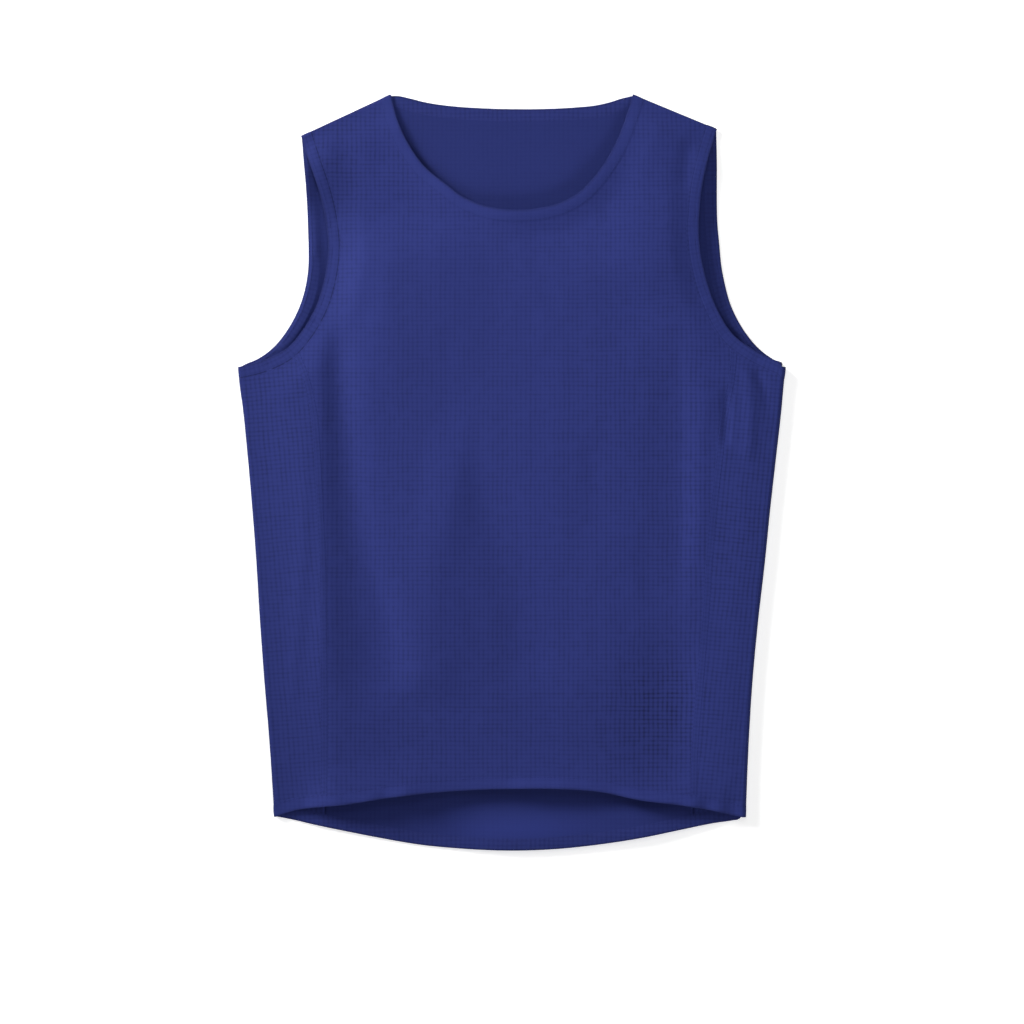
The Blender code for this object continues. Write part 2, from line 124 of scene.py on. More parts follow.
def table(kind: type[Row], *rows: Sequence[object]) -> tuple[Row, ...]:
    """Plain rows as a table of one kind of row."""
    return tuple(kind(*row) for row in rows)


SIDE_ROWS = table(  # the body at the side folds, underarm corner to hem corner
    LevelRow,
    (84.4, -218.8, 218.8), (77, -218.4, 218), (50, -215, 215.5), (10, -211, 211),
    (-30, -207.5, 206.5), (-70, -204.5, 202.5), (-118, -201.5, 197), (-166, -198, 192.5),
    (-214, -194, 189.5), (-275, -190, 187),
)

SEAM_ROWS = table(  # seams between the side panels and the front or back
    LevelRow,
    (104, -176, 177.5), (94, -171.5, 177), (77, -164.5, 175.5), (50, -158, 170.5),
    (10, -154.5, 165.5), (-30, -152.5, 161), (-70, -150.5, 157.5), (-118, -150, 154.5),
    (-166, -149.5, 150.5), (-214, -149.5, 146.5), (-285, -149.5, 144),
)

ARMHOLE_ROWS = table(
    ArmholeRow,
    (87, -212, -205.5, 213.8, 216.4), (90, -204.5, -196.5, 208, 210), (99.5, -191, -179, 190, 197),
    (110, -182, -169.5, 176.5, 188), (122, -174.5, -161.5, 168, 180.5),
    (134, -169, -155.5, 162, 175), (150, -164.5, -150.5, 156, 170.5),
    (166, -162.5, -147.5, 152, 167.5), (182, -162.5, -146.5, 149.5, 166),
    (198, -163, -148, 149, 164.5), (214, -163.5, -151, 150, 164), (230, -164.5, -155.5, 152, 164),
    (246, -166, -161, 155.5, 164),
)

NECK_ROWS = table(
    EdgeRow,
    (-91, 280.5, 301), (-81.5, 260.5, 299), (-69.5, 244, 296), (-54, 231, 293.5), (-38, 219, 292),
    (-19, 211.5, 291), (0, 209, 290.5), (19.5, 210, 290.5), (37, 214, 291), (53, 222.5, 292),
    (67.5, 237.5, 293.5), (78.5, 254, 296), (88, 274.5, 299),
)

HEM_ROWS = table(
    EdgeRow,
    (-177.5, -271, -277), (-157.5, -267, -281.5), (-133.5, -264.5, -286.5), (-105.5, -260, -292),
    (-73.5, -256, -297.5), (-41.5, -253.5, -300.5), (-1.5, -252, -302), (38.5, -252, -300.5),
    (70.5, -254.5, -297), (102.5, -261, -292), (134.5, -265, -285.5), (162.5, -270, -280),
    (176, -273.2, -278.2), (182, -274.6, -276.9),
)


class SideFold(NamedTuple):
    """A side fold: the air inside it, and how far from it the front reaches its own height."""

    gap: float
    settle: float


SIDE_FOLDS = {Side.LEFT: SideFold(1.0, 54.0), Side.RIGHT: SideFold(4.4, 20.0)}
SHOULDER_TIP = {Side.LEFT: (-168.5, 269.0), Side.RIGHT: (164.0, 274.5)}
NECK_POINT = {Side.LEFT: (-97.0, 302.2), Side.RIGHT: (97.0, 302.2)}


# --- plan geometry


def ease(share: np.ndarray | float) -> np.ndarray:
    """Smooth step from 0 to 1, element by element."""
    share = np.clip(share, 0.0, 1.0)
    return share * share * (3.0 - 2.0 * share)


def unit(vector: np.ndarray | Sequence[float]) -> np.ndarray:
    """The vectors in the last axis at length one."""
    vector = np.asarray(vector, float)
    return vector / np.linalg.norm(vector, axis=-1, keepdims=True)


def quarter_turn(vector: np.ndarray, hand: float) -> np.ndarray:
    """Plan vectors turned a quarter turn: clockwise for hand 1, the other way for hand -1."""
    return hand * np.stack((vector[..., 1], -vector[..., 0]), axis=-1)


class PlanCurve:
    """A smooth curve in the plan through knots, measured by its length.

    Args:
        knots: points that the curve passes through.
        per_span: straight pieces between two knots.
    """

    BATCH = 4096

    def __init__(self, knots: Sequence[Sequence[float]], per_span: int = 16) -> None:
        given = np.asarray(knots, float)
        chords = np.linalg.norm(np.diff(given, axis=0), axis=1)
        at = np.concatenate(([0.0], np.cumsum(chords)))
        slopes = np.gradient(given, at, axis=0, edge_order=1)
        share = np.linspace(0.0, 1.0, per_span, endpoint=False)[None, :, None]
        span = chords[:, None, None]
        low, high = given[:-1, None], given[1:, None]
        low_slope, high_slope = slopes[:-1, None] * span, slopes[1:, None] * span
        square, cube = share**2, share**3
        dense = (
            (2 * cube - 3 * square + 1) * low
            + (cube - 2 * square + share) * low_slope
            + (3 * square - 2 * cube) * high
            + (cube - square) * high_slope
        )
        self.points = np.vstack((dense.reshape(-1, 2), given[-1:]))
        steps = np.linalg.norm(np.diff(self.points, axis=0), axis=1)
        self.arc = np.concatenate(([0.0], np.cumsum(steps)))
        self.length = float(self.arc[-1])

    def at(self, distance: np.ndarray | float) -> np.ndarray:
        """Points at distances along the curve."""
        return np.stack([np.interp(distance, self.arc, self.points[:, k]) for k in (0, 1)], axis=-1)

    def along(self, distance: np.ndarray) -> np.ndarray:
        """Directions of travel at distances along the curve."""
        reach = 1.5
        low = np.maximum(np.asarray(distance) - reach, 0.0)
        high = np.minimum(np.asarray(distance) + reach, self.length)
        return unit(self.at(high) - self.at(low))

    def locate(self, plan: np.ndarray) -> tuple[np.ndarray, np.ndarray]:
        """Finds the nearest place on the curve.

        Args:
            plan: points, one a row.

        Returns:
            The distance of each point, positive on the left hand of travel, and the share of the
            curve's length at its nearest place.
        """
        start, step = self.points[:-1], np.diff(self.points, axis=0)
        square = (step**2).sum(axis=1)
        signed, share = np.empty(len(plan)), np.empty(len(plan))
        for first in range(0, len(plan), self.BATCH):
            batch = plan[first : first + self.BATCH, None, :]
            part = np.clip(((batch - start) * step).sum(axis=-1) / square, 0.0, 1.0)
            away = batch - (start + part[..., None] * step)
            apart = (away**2).sum(axis=-1)
            best = apart.argmin(axis=1)
            row = np.arange(len(best))
            across = step[best, 0] * away[row, best, 1] - step[best, 1] * away[row, best, 0]
            reached = self.arc[best] + part[row, best] * np.sqrt(square[best])
            done = slice(first, first + len(best))
            signed[done] = np.sqrt(apart[row, best]) * np.where(across < 0.0, -1.0, 1.0)
            share[done] = reached / self.length
        return signed, share


class LevelCurve:
    """A curve read by its level: x as a smooth function of y.

    Args:
        rows: the table's rows, from the top down.
        side: the column that is read.
        inset: distance added to each position across.
    """

    def __init__(self, rows: Sequence[LevelRow], side: Side, inset: float) -> None:
        curve = PlanCurve([(getattr(row, side.value) + inset, row.up) for row in rows])
        self.ups = curve.points[::-1, 1]
        self.across = curve.points[::-1, 0]

    def x(self, level: np.ndarray | float) -> np.ndarray:
        """Positions across at levels."""
        return np.interp(level, self.ups, self.across)

    def point(self, level: np.ndarray | float) -> np.ndarray:
        """Plan points at levels."""
        return np.stack((self.x(level), np.asarray(level, float)), axis=-1)

    def down(self, level: np.ndarray | float) -> np.ndarray:
        """Unit directions down the curve at levels."""
        return unit(self.point(np.asarray(level) - 5.0) - self.point(np.asarray(level) + 5.0))


class Edge(PlanCurve):
    """A free edge of the garment, with the direction into the cloth at each place on it.

    Args:
        knots: points on the edge.
        hand: side of travel on which the cloth lies.
        start_width: direction into the cloth where the edge starts.
        end_width: direction into the cloth where it ends.
        blend: distance over which those two directions die away.
    """

    def __init__(
        self, knots: Sequence[Sequence[float]], hand: float,
        start_width: np.ndarray, end_width: np.ndarray, blend: float,
    ) -> None:
        super().__init__(knots)
        self.hand = hand
        self.start_width = unit(start_width)
        self.end_width = unit(end_width)
        self.blend = blend

    def width(self, distance: np.ndarray) -> np.ndarray:
        """Unit directions from the edge into the cloth at distances along it."""
        distance = np.atleast_1d(distance)
        own = quarter_turn(self.along(distance), self.hand)
        start = (1.0 - ease(distance / self.blend))[:, None]
        end = (1.0 - ease((self.length - distance) / self.blend))[:, None]
        return unit(own * (1.0 - start - end) + self.start_width * start + self.end_width * end)

    def inner(self, distance: np.ndarray, depth: float) -> np.ndarray:
        """Plan points at one depth inside the edge."""
        distance = np.atleast_1d(distance)
        return self.at(distance) + self.width(distance) * depth


def coons(
    bottom: np.ndarray, top: np.ndarray, left: np.ndarray, right: np.ndarray,
    columns: np.ndarray, rows: np.ndarray,
) -> np.ndarray:
    """Spreads plan points between four boundaries that share their corners.

    Args:
        bottom: lower boundary, left to right.
        top: upper boundary, left to right.
        left: left boundary, upwards.
        right: right boundary, upwards.
        columns: share across of each point of the bottom and top.
        rows: share up of each point of the left and right.

    Returns:
        The grid, rows by columns by two.
    """
    u, v = columns[None, :, None], rows[:, None, None]
    sides = (1 - u) * left[:, None] + u * right[:, None]
    ends = (1 - v) * bottom[None] + v * top[None]
    corners = (1 - v) * ((1 - u) * bottom[0] + u * bottom[-1])
    corners = corners + v * ((1 - u) * top[0] + u * top[-1])
    return sides + ends - corners


def shares_of(points: np.ndarray) -> np.ndarray:
    """Share of a polyline's length at each of its points."""
    steps = np.linalg.norm(np.diff(points, axis=0), axis=1)
    return np.concatenate(([0.0], np.cumsum(steps))) / steps.sum()


def grid_area(grid: np.ndarray) -> float:
    """Area in square metres inside the boundary of a plan grid in millimetres."""
    x, y = np.vstack((grid[0], grid[1:, -1], grid[-1, -2::-1], grid[-2:0:-1, 0])).T
    return abs(float(np.dot(x, np.roll(y, -1)) - np.dot(y, np.roll(x, -1)))) / 2 * MM * MM


@dataclass
class Pattern:
    """The garment's cut as it lies: side folds, seams, shoulders and free edges.

    Args:
        wall: thickness of the solids' cloth wall.
        seam: clearance between two sewn solids.
        band: width of each trim.
        shoulder_gap: air inside the shoulder folds.
        arm_blend: stretch over which an armhole trim turns into its folds.
        neck_blend: the same for the neck trim.
        hem_blend: the same for the hem.
        end_reach: distance from a side fold's end at which its direction is read.
    """

    wall: float = 1.2
    seam: float = 0.3
    band: float = 10.0
    shoulder_gap: float = 0.3
    arm_blend: float = 22.0
    neck_blend: float = 18.0
    hem_blend: float = 20.0
    end_reach: float = 8.0

    def __post_init__(self) -> None:
        """Draws the curves that every piece is laid out from."""
        self.side_gap = {side: SIDE_FOLDS[side].gap for side in Side}
        self.side_radius = {side: self.side_gap[side] / 2 + self.wall for side in Side}
        self.shoulder_radius = self.shoulder_gap / 2 + self.wall
        self.top_level, self.low_level = SIDE_ROWS[0].up, SIDE_ROWS[-1].up
        inset = {side: side.inward * self.side_radius[side] for side in Side}
        self.side_fold = {side: LevelCurve(SIDE_ROWS, side, inset[side]) for side in Side}
        self.side_seam = {s: LevelCurve(SEAM_ROWS, s, 0.0) for s in Side}
        self.underarm = {s: self.side_fold[s].point(self.top_level) for s in Side}
        self.hem_corner = {s: self.side_fold[s].point(self.low_level) for s in Side}
        self.shoulder = {s: self.shoulder_line(s) for s in Side}
        self.arm = {(s, layer): self.armhole_edge(s, layer) for s in Side for layer in Layer}
        self.neck = {layer: self.neck_edge(layer) for layer in Layer}
        self.hem = {layer: self.hem_edge(layer) for layer in Layer}

    def shoulder_line(self, side: Side) -> tuple[np.ndarray, np.ndarray, np.ndarray]:
        """Tip, neck point and outward direction of a shoulder fold's axis."""
        tip, neck = np.array(SHOULDER_TIP[side]), np.array(NECK_POINT[side])
        outward = quarter_turn(unit(neck - tip), -side.inward)
        return tip - outward * self.shoulder_radius, neck - outward * self.shoulder_radius, outward

    def below_arm(self, side: Side) -> np.ndarray:
        """Direction down the side fold at the underarm corner."""
        return self.side_fold[side].down(self.top_level - self.end_reach)

    def above_hem(self, side: Side) -> np.ndarray:
        """Direction up the side fold at the hem corner."""
        return -self.side_fold[side].down(self.low_level + self.end_reach)

    def armhole_edge(self, side: Side, layer: Layer) -> Edge:
        """Armhole edge of one layer, from the underarm fold to the shoulder fold."""
        tip, neck, _ = self.shoulder[side]
        column = f"{layer.value}_{side.value}"
        rows = [(getattr(row, column), row.up) for row in ARMHOLE_ROWS]
        knots = [self.underarm[side], *rows, tip]
        return Edge(knots, side.inward, self.below_arm(side), neck - tip, self.arm_blend)

    def neck_edge(self, layer: Layer) -> Edge:
        """Neck edge of one layer, from the left shoulder fold to the right one."""
        ends = [self.shoulder[side][1] for side in Side]
        widths = [self.shoulder[side][0] - self.shoulder[side][1] for side in Side]
        rows = [(row.across, getattr(row, f"{layer.value}_up")) for row in NECK_ROWS]
        return Edge([ends[0], *rows, ends[1]], 1.0, *widths, self.neck_blend)

    def hem_edge(self, layer: Layer) -> Edge:
        """Hem edge of one layer, from the left side fold to the right one."""
        rows = [(row.across, getattr(row, f"{layer.value}_up")) for row in HEM_ROWS]
        widths = [self.above_hem(side) for side in Side]
        knots = [self.hem_corner[Side.LEFT], *rows, self.hem_corner[Side.RIGHT]]
        return Edge(knots, -1.0, *widths, self.hem_blend)

    def seam_distance(self, edge: Edge, side: Side, depth: float, from_end: bool = False) -> float:
        """Finds where a side seam meets the line at one depth inside an edge.

        Args:
            edge: the free edge.
            side: side of the seam.
            depth: depth of the line inside the edge.
            from_end: search from the edge's end backwards.

        Returns:
            The distance along the edge.
        """
        first, share, count = 4.0, 0.6, 1200
        samples = np.linspace(first, edge.length * share, count)
        samples = edge.length - samples if from_end else samples
        points = edge.inner(samples, depth)
        inside = side.inward * (points[:, 0] - self.side_seam[side].x(points[:, 1])) >= 0.0
        return float(samples[np.argmax(inside)])


# --- relief


class Crease(NamedTuple):
    """A soft ridge (positive height) or trough (negative) along plan points.

    Left and right are the half widths on the sides of smaller and of larger x, at the crease's
    start and at its end. The fades are shares of its length.
    """

    name: str
    path: tuple[tuple[float, float], ...]
    height: float
    left: tuple[float, float]
    right: tuple[float, float]
    fade_in: float = 0.25
    fade_out: float = 0.25


CREASES = table(
    Crease,
    ("left_trough", ((-139.5, 140), (-137, 58), (-126, -22), (-91, -190)), -2.7, (7, 38), (12, 18),
     0.15, 0.12),
    ("seam_crest", ((-152, 120), (-150, -20), (-147, -210)), 1.5, (9, 12), (9, 18)),
    ("flank_crest", ((-165, 78), (-166, -50), (-184, -252)), 0.8, (10, 5), (6, 5)),
    ("chest_left", ((-98, 212), (-92, 145), (-92, 20)), 3.9, (38, 34), (80, 70), 0.25, 0.55),
    ("centre_ridge", ((-40, 56), (-47, 0), (-58, -60), (-70, -190)), 3, (20, 32), (9, 34), 0.45,
     0.12),
    ("centre_trough", ((-36, 44), (-22, -8), (-4, -66), (12, -180)), -1.6, (9, 36), (16, 50), 0.4,
     0.15),
    ("faint_trough", ((60, 34), (66, -10), (68, -60)), -0.7, (7, 12), (12, 16)),
    ("right_hollow", ((138, 96), (134, -90), (124, -262)), -2, (70, 60), (40, 40), 0.3, 0.05),
    ("right_trough", ((130, 120), (134, 4), (131, -118)), -1.5, (26, 24), (9, 9)),
    ("right_ridge", ((154, 92), (152, 2), (149, -84)), 0.5, (7, 7), (7, 7)),
    ("seam_pinch", ((171, 72), (171, 44), (170, 16)), -1.1, (4, 4), (4, 4)),
    ("armpit_crease", ((193, 87), (202, 66), (208, 42)), -1.4, (4.5, 4.5), (4.5, 4.5)),
    ("armpit_ridge", ((186, 92), (190, 52), (189, 2)), 1, (6, 6), (5, 5)),
    ("hip_hollow", ((126, -118), (128, -186), (126, -262)), -1.8, (30, 36), (20, 22), 0.3, 0.05),
    ("neck_swell", ((122, 296), (114, 205), (94, 130)), 4.2, (40, 40), (44, 44), 0.15),
    ("left_shoulder_crease", ((-152, 264), (-123, 251), (-96, 236)), -0.7, (6, 6), (6, 6)),
    ("right_shoulder_crease", ((144, 272), (141, 250), (137, 222)), -1, (7, 7), (5, 5)),
)

BACK_CREASES = table(
    Crease,
    ("hem_left", ((-150, -246), (-152, -275), (-150, -330)), 1.2, (14, 14), (62, 62), 0.4, 0.01),
    ("hem_middle", ((-2, -236), (-8, -270), (-2, -330)), 0.8, (20, 30), (44, 44), 0.4, 0.01),
    ("hem_swell", ((-66, -280), (-4, -286), (76, -283), (148, -271)), 3.5, (17, 17), (17, 17), 0.4,
     0.25),
    ("hem_right", ((142, -240), (144, -275), (146, -330)), 1.4, (40, 40), (20, 20), 0.4, 0.01),
)


class EdgeLift(NamedTuple):
    """Air under a free edge.

    Crest is the depth of the highest line, and settle the distance from there to the body's own
    height. The profile holds heights at shares of the edge's length.
    """

    edge: str
    crest: float
    settle: float
    profile: tuple[tuple[float, float], ...]

    def height(self, share: np.ndarray) -> np.ndarray:
        """Heights at shares of the edge's length, smooth between the profile's points."""
        shares, heights = np.array(self.profile).T
        after = np.clip(np.searchsorted(shares, share), 1, len(shares) - 1)
        step = ease((share - shares[after - 1]) / (shares[after] - shares[after - 1]))
        return heights[after - 1] + (heights[after] - heights[after - 1]) * step

    def near(self, away: np.ndarray) -> np.ndarray:
        """How much of the edge's height a place has, from its distance to the edge."""
        return 1.0 - ease((np.abs(away) - self.crest) / self.settle)


FRONT_LIFTS = table(
    EdgeLift,
    ("arm_left", 0, 32, ((0, 1.4), (0.15, 1.4), (0.5, 1), (0.66, 1.4), (0.84, 5.2), (0.94, 5.2),
     (1, 3.2))),
    ("arm_right", 0, 26, ((0, 3.2), (0.15, 3.6), (0.5, 4.4), (0.85, 4.6), (1, 1.6))),
    ("neck", 0, 26, ((0, 1.4), (0.06, 2.6), (0.2, 3), (0.34, 4.8), (0.5, 6.4), (0.7, 6), (0.9, 4),
     (1, 1.4))),
    ("hem", 0, 36, ((0, 1.4), (0.045, 6), (0.13, 10.4), (0.26, 9.2), (0.42, 6.6), (0.6, 6.6),
     (0.78, 7.4), (0.87, 8), (0.94, 6), (1, 3.4))),
)
HEM_CURL = EdgeLift(
    "hem", 0, 11, ((0, 0), (0.06, 0.1), (0.09, 1.4), (0.125, 0.2), (0.165, 0.4), (0.2, 1.4),
    (0.235, 0.4), (0.275, 1.9), (0.32, 0.3), (0.4, 0.1), (0.48, 0.8), (0.54, 2.6), (0.61, 2.8),
    (0.67, 1.5), (0.72, 0.5), (0.78, 2), (0.83, 1.4), (0.865, 0.4), (0.892, 1.4), (0.92, 0.3),
    (0.943, 1), (1, 0)),
)
BACK_LIFTS = table(
    EdgeLift,
    ("arm_left", 4, 9, ((0, 0), (0.12, 1.3), (0.5, 2.1), (0.68, 1.2), (0.8, 0), (1, 0))),
    ("arm_left", 0, 11, ((0, 0), (0.66, 0), (0.8, 2.8), (0.94, 2.6), (1, 0))),
    ("hem", 0, 14, ((0, 0), (0.26, 0.1), (0.42, 0.7), (0.6, 0.8), (0.8, 1.2), (0.92, 0.8), (1, 0))),
)


class Wave(NamedTuple):
    """A family of small wrinkles: how many, how long and how high, and how far they turn."""

    count: int
    shortest: float
    longest: float
    height: float
    across: float


WAVES = (
    Wave(12, 50.0, 130.0, 0.09, 0.35),
    Wave(22, 16.0, 38.0, 0.022, 0.45),
)


@dataclass
class Relief:
    """Heights of the cloth above the surface that the garment lies on.

    Args:
        pattern: the cut.
        shoulder_body: air under the front near the shoulders.
        body_gap: air under the front in the body.
        body_top: level at which the front starts to rise from the shoulders' height.
        body_rise: distance over which it rises.
        least_gap: least air between the layers.
        most_gap: most air between them.
        edge_share: how much of the creases reaches a free edge.
        shoulder_settle: distance over which the front sinks to a shoulder fold.
        side_settle: distance over which the back's lift sinks to a side fold.
        bend: sideways sway of the small wrinkles.
        seed: seed of the small wrinkles.
    """

    pattern: Pattern
    shoulder_body: float = 2.0
    body_gap: float = 5.2
    body_top: float = 262.0
    body_rise: float = 120.0
    least_gap: float = 0.5
    most_gap: float = 13.0
    edge_share: float = 0.35
    shoulder_settle: float = 30.0
    side_settle: float = 14.0
    bend: float = 9.0
    seed: int = 11

    def __post_init__(self) -> None:
        """Prepares the crease paths and draws the small wrinkles once."""
        cut = self.pattern
        self.edges = {}
        for layer in Layer:
            self.edges |= {(f"arm_{side.value}", layer): cut.arm[side, layer] for side in Side}
            self.edges |= {("neck", layer): cut.neck[layer], ("hem", layer): cut.hem[layer]}
        self.paths = {
            Layer.FRONT: [(crease, PlanCurve(crease.path, 12)) for crease in CREASES],
            Layer.BACK: [(crease, PlanCurve(crease.path, 12)) for crease in BACK_CREASES],
        }
        dice = np.random.default_rng(self.seed)
        self.waves = []
        for family in WAVES:
            length = dice.uniform(family.shortest, family.longest, family.count)
            turn = dice.normal(0.0, family.across, family.count)
            phase = dice.uniform(0.0, 2.0 * math.pi, family.count)
            height = family.height * length / family.longest
            for values in zip(length, turn, phase, height):
                self.waves.append(tuple(float(value) for value in values))

    def wrinkles(self, plan: np.ndarray) -> np.ndarray:
        """Small uneven waves, mostly running up and down the body."""
        sway_length, sway_phase = 1.7, 3.0
        total = np.zeros(len(plan))
        for length, turn, phase, height in self.waves:
            along = plan[:, 0] * math.cos(turn) + plan[:, 1] * math.sin(turn)
            bend = self.bend * np.sin(plan[:, 1] / (length * sway_length) + phase * sway_phase)
            total += height * np.sin((along + bend) * 2.0 * math.pi / length + phase)
        return total

    def creases(self, plan: np.ndarray, layer: Layer) -> np.ndarray:
        """Height that a layer's creases add at plan points."""
        total = np.zeros(len(plan))
        for crease, path in self.paths[layer]:
            away, share = path.locate(plan)
            downwards = path.points[-1, 1] < path.points[0, 1]
            leftwards = away < 0.0 if downwards else away > 0.0
            left, right = (low + (high - low) * share for low, high in (crease.left, crease.right))
            half = np.where(leftwards, left, right)
            fade = ease(share / crease.fade_in) * ease((1.0 - share) / crease.fade_out)
            total += crease.height * fade * np.exp(-((away / half) ** 2))
        return total

    def aside(self, plan: np.ndarray, side: Side) -> np.ndarray:
        """Distance of plan points from a side fold."""
        cut = self.pattern
        over = np.maximum(plan[:, 1] - cut.top_level, 0.0)
        level = np.clip(plan[:, 1], cut.low_level, cut.top_level)
        return np.hypot(plan[:, 0] - cut.side_fold[side].x(level), over)

    def below_shoulder(self, plan: np.ndarray, side: Side) -> np.ndarray:
        """Distance of plan points from a shoulder fold, endless on the garment's other half."""
        tip, _, outward = self.pattern.shoulder[side]
        below = np.maximum((tip - plan) @ outward, 0.0)
        return np.where(side.inward * plan[:, 0] < 0.0, below, math.inf)

    def front_gap(self, plan: np.ndarray) -> np.ndarray:
        """Air between the back layer and the front layer at plan points."""
        gap = ease((self.body_top - plan[:, 1]) / self.body_rise)
        gap = self.shoulder_body + (self.body_gap - self.shoulder_body) * gap
        free = np.ones(len(plan))
        for lift in FRONT_LIFTS:
            away, share = self.edges[lift.edge, Layer.FRONT].locate(plan)
            near = lift.near(away)
            gap += (lift.height(share) - gap) * near
            free *= 1.0 - near
        away, share = self.edges["hem", Layer.FRONT].locate(plan)
        gap += HEM_CURL.height(share) * HEM_CURL.near(away)
        uneven = self.creases(plan, Layer.FRONT) + self.wrinkles(plan)
        free = self.edge_share + (1.0 - self.edge_share) * free
        gap = np.clip(gap + uneven * free, self.least_gap, self.most_gap)
        for side in Side:
            fold = SIDE_FOLDS[side]
            settled = ease(self.aside(plan, side) / fold.settle)
            gap = fold.gap + (gap - fold.gap) * settled
        for side in Side:
            settled = ease(self.below_shoulder(plan, side) / self.shoulder_settle)
            gap = self.pattern.shoulder_gap + (gap - self.pattern.shoulder_gap) * settled
        return gap

    def back_lift(self, plan: np.ndarray) -> np.ndarray:
        """Air between the surface below and the back layer at plan points."""
        at_edge, inside = 0.35, 0.65
        lift = np.maximum(self.creases(plan, Layer.BACK), 0.0)
        for edge in BACK_LIFTS:
            away, share = self.edges[edge.edge, Layer.BACK].locate(plan)
            rising = at_edge + inside * ease(np.abs(away) / edge.crest) if edge.crest else 1.0
            lift += edge.height(share) * rising * edge.near(away)
        for side in Side:
            lift *= ease(self.aside(plan, side) / self.side_settle)
            lift *= ease(self.below_shoulder(plan, side) / self.shoulder_settle)
        return np.minimum(lift, np.maximum(self.front_gap(plan) - self.least_gap, 0.0))


class Lie(Enum):
    """Where a place of the cloth lies."""

    BACK = -1
    FOLD = 0
    FRONT = 1


# Painted shade: how much darker the cloth's colour is painted where a fold turns edge-on.
FOLD_SHADE = 0.65


@dataclass
class Spots:
    """Places on the cloth, flat on a layer or on a fold between the layers.

    Args:
        plan: plan points in millimetres; on a fold, points of its axis.
        lie: value of Lie for each place.
        outward: plan direction out of the fold.
        turn: angle round the fold in radians, a quarter turn at the front layer.
        gap: air inside the fold.
    """

    plan: np.ndarray
    lie: np.ndarray
    outward: np.ndarray
    turn: np.ndarray
    gap: np.ndarray

    @classmethod
    def flat(cls, plan: np.ndarray, layer: Layer) -> Spots:
        """Places on one layer."""
        plan = np.asarray(plan, float).reshape(-1, 2)
        count = len(plan)
        lie = Lie.FRONT if layer is Layer.FRONT else Lie.BACK
        nought = np.zeros(count)
        return cls(plan, np.full(count, lie.value), np.zeros((count, 2)), nought, nought)

    @classmethod
    def folded(cls, axis: np.ndarray, outward: np.ndarray, turn: np.ndarray, gap: float) -> Spots:
        """Places round a fold, one turn for each axis point."""
        axis = np.asarray(axis, float).reshape(-1, 2)
        count = len(axis)
        outward = np.broadcast_to(outward, (count, 2))
        turn = np.broadcast_to(turn, count)
        return cls(axis, np.full(count, Lie.FOLD.value), outward, turn, np.full(count, gap))

    def arrays(self) -> tuple[np.ndarray, ...]:
        """The arrays, in the order of the fields."""
        return self.plan, self.lie, self.outward, self.turn, self.gap

    @classmethod
    def joined(cls, parts: Sequence[Spots]) -> Spots:
        """Several sets of places as one, in order."""
        return cls(*map(np.concatenate, zip(*(part.arrays() for part in parts))))

    def repeated(self, times: int) -> Spots:
        """Each place several times over."""
        return Spots(*(np.repeat(values, times, axis=0) for values in self.arrays()))

    def moved(self, offset: np.ndarray) -> Spots:
        """The same places moved in the plan."""
        return Spots(self.plan + offset, *self.arrays()[1:])

    def painted_fold_shade(self) -> np.ndarray:
        """Factor of the cloth's colour: painted shade, darker where a fold turns edge-on."""
        folded = self.lie == Lie.FOLD.value
        return np.where(folded, 1.0 - FOLD_SHADE * np.cos(self.turn) ** 2, 1.0)


@dataclass
class Drape:
    """Turns places on the cloth into points in space.

    Args:
        pattern: the cut.
        relief: heights of the front layer.
    """

    pattern: Pattern
    relief: Relief

    def heights(self, spots: Spots) -> np.ndarray:
        """Air under each place of the front and of the back, and nothing on a fold."""
        gap = np.zeros(len(spots.plan))
        above = {Lie.FRONT: self.relief.front_gap, Lie.BACK: self.relief.back_lift}
        for lie, height in above.items():
            here = spots.lie == lie.value
            if here.any():
                gap[here] = height(spots.plan[here])
        return gap

    def points(self, spots: Spots, level: np.ndarray | float, gap: np.ndarray) -> np.ndarray:
        """Points of the cloth.

        Args:
            spots: places on the cloth.
            level: 0 on the inside of the solids' wall and 1 on its outside, for all or for each.
            gap: what heights() gives for the same places.

        Returns:
            One point a row, in metres.
        """
        wall = self.pattern.wall
        level = np.broadcast_to(level, len(spots.plan))
        back, fold = spots.lie == Lie.BACK.value, spots.lie == Lie.FOLD.value
        radius = spots.gap / 2 + level * wall
        reach = np.where(fold, radius * np.cos(spots.turn), 0.0)[:, None]
        plan = spots.plan + spots.outward * reach
        z = wall + gap + level * wall
        z = np.where(back, np.maximum(wall - level * wall, 0.0) + gap, z)
        z = np.where(fold, wall + spots.gap / 2 + radius * np.sin(spots.turn), z)
        return np.column_stack((plan, np.maximum(z, 0.0))) * MM

    def shell(
        self, name: str, spots: Spots, levels: tuple[float, float], quads: np.ndarray,
        uv: np.ndarray,
    ) -> bpy.types.Object:
        """Makes a closed shell of cloth.

        Args:
            name: the piece's name.
            spots: its places.
            levels: levels of its outer and of its inner face.
            quads: faces of the outer face.
            uv: coordinates of the places, used for both faces.

        Returns:
            The new object.
        """
        gap = self.heights(spots)
        outer, inner = (self.points(spots, level, gap) for level in levels)
        count = len(outer)
        faces = np.vstack((quads, quads[:, ::-1] + count, rim_quads(quads, count)))
        return solid_mesh(name, np.vstack((outer, inner)), faces, np.vstack((uv, uv)))


# --- mesh making


def lattice(index: np.ndarray, wrap: bool = False) -> np.ndarray:
    """Quads between the neighbours of an index grid, with wrap round its rows and columns."""
    if wrap:
        index = np.vstack((index, index[:1]))
        index = np.hstack((index, index[:, :1]))
    corners = (index[:-1, :-1], index[:-1, 1:], index[1:, 1:], index[1:, :-1])
    return np.stack([corner.ravel() for corner in corners], axis=1)


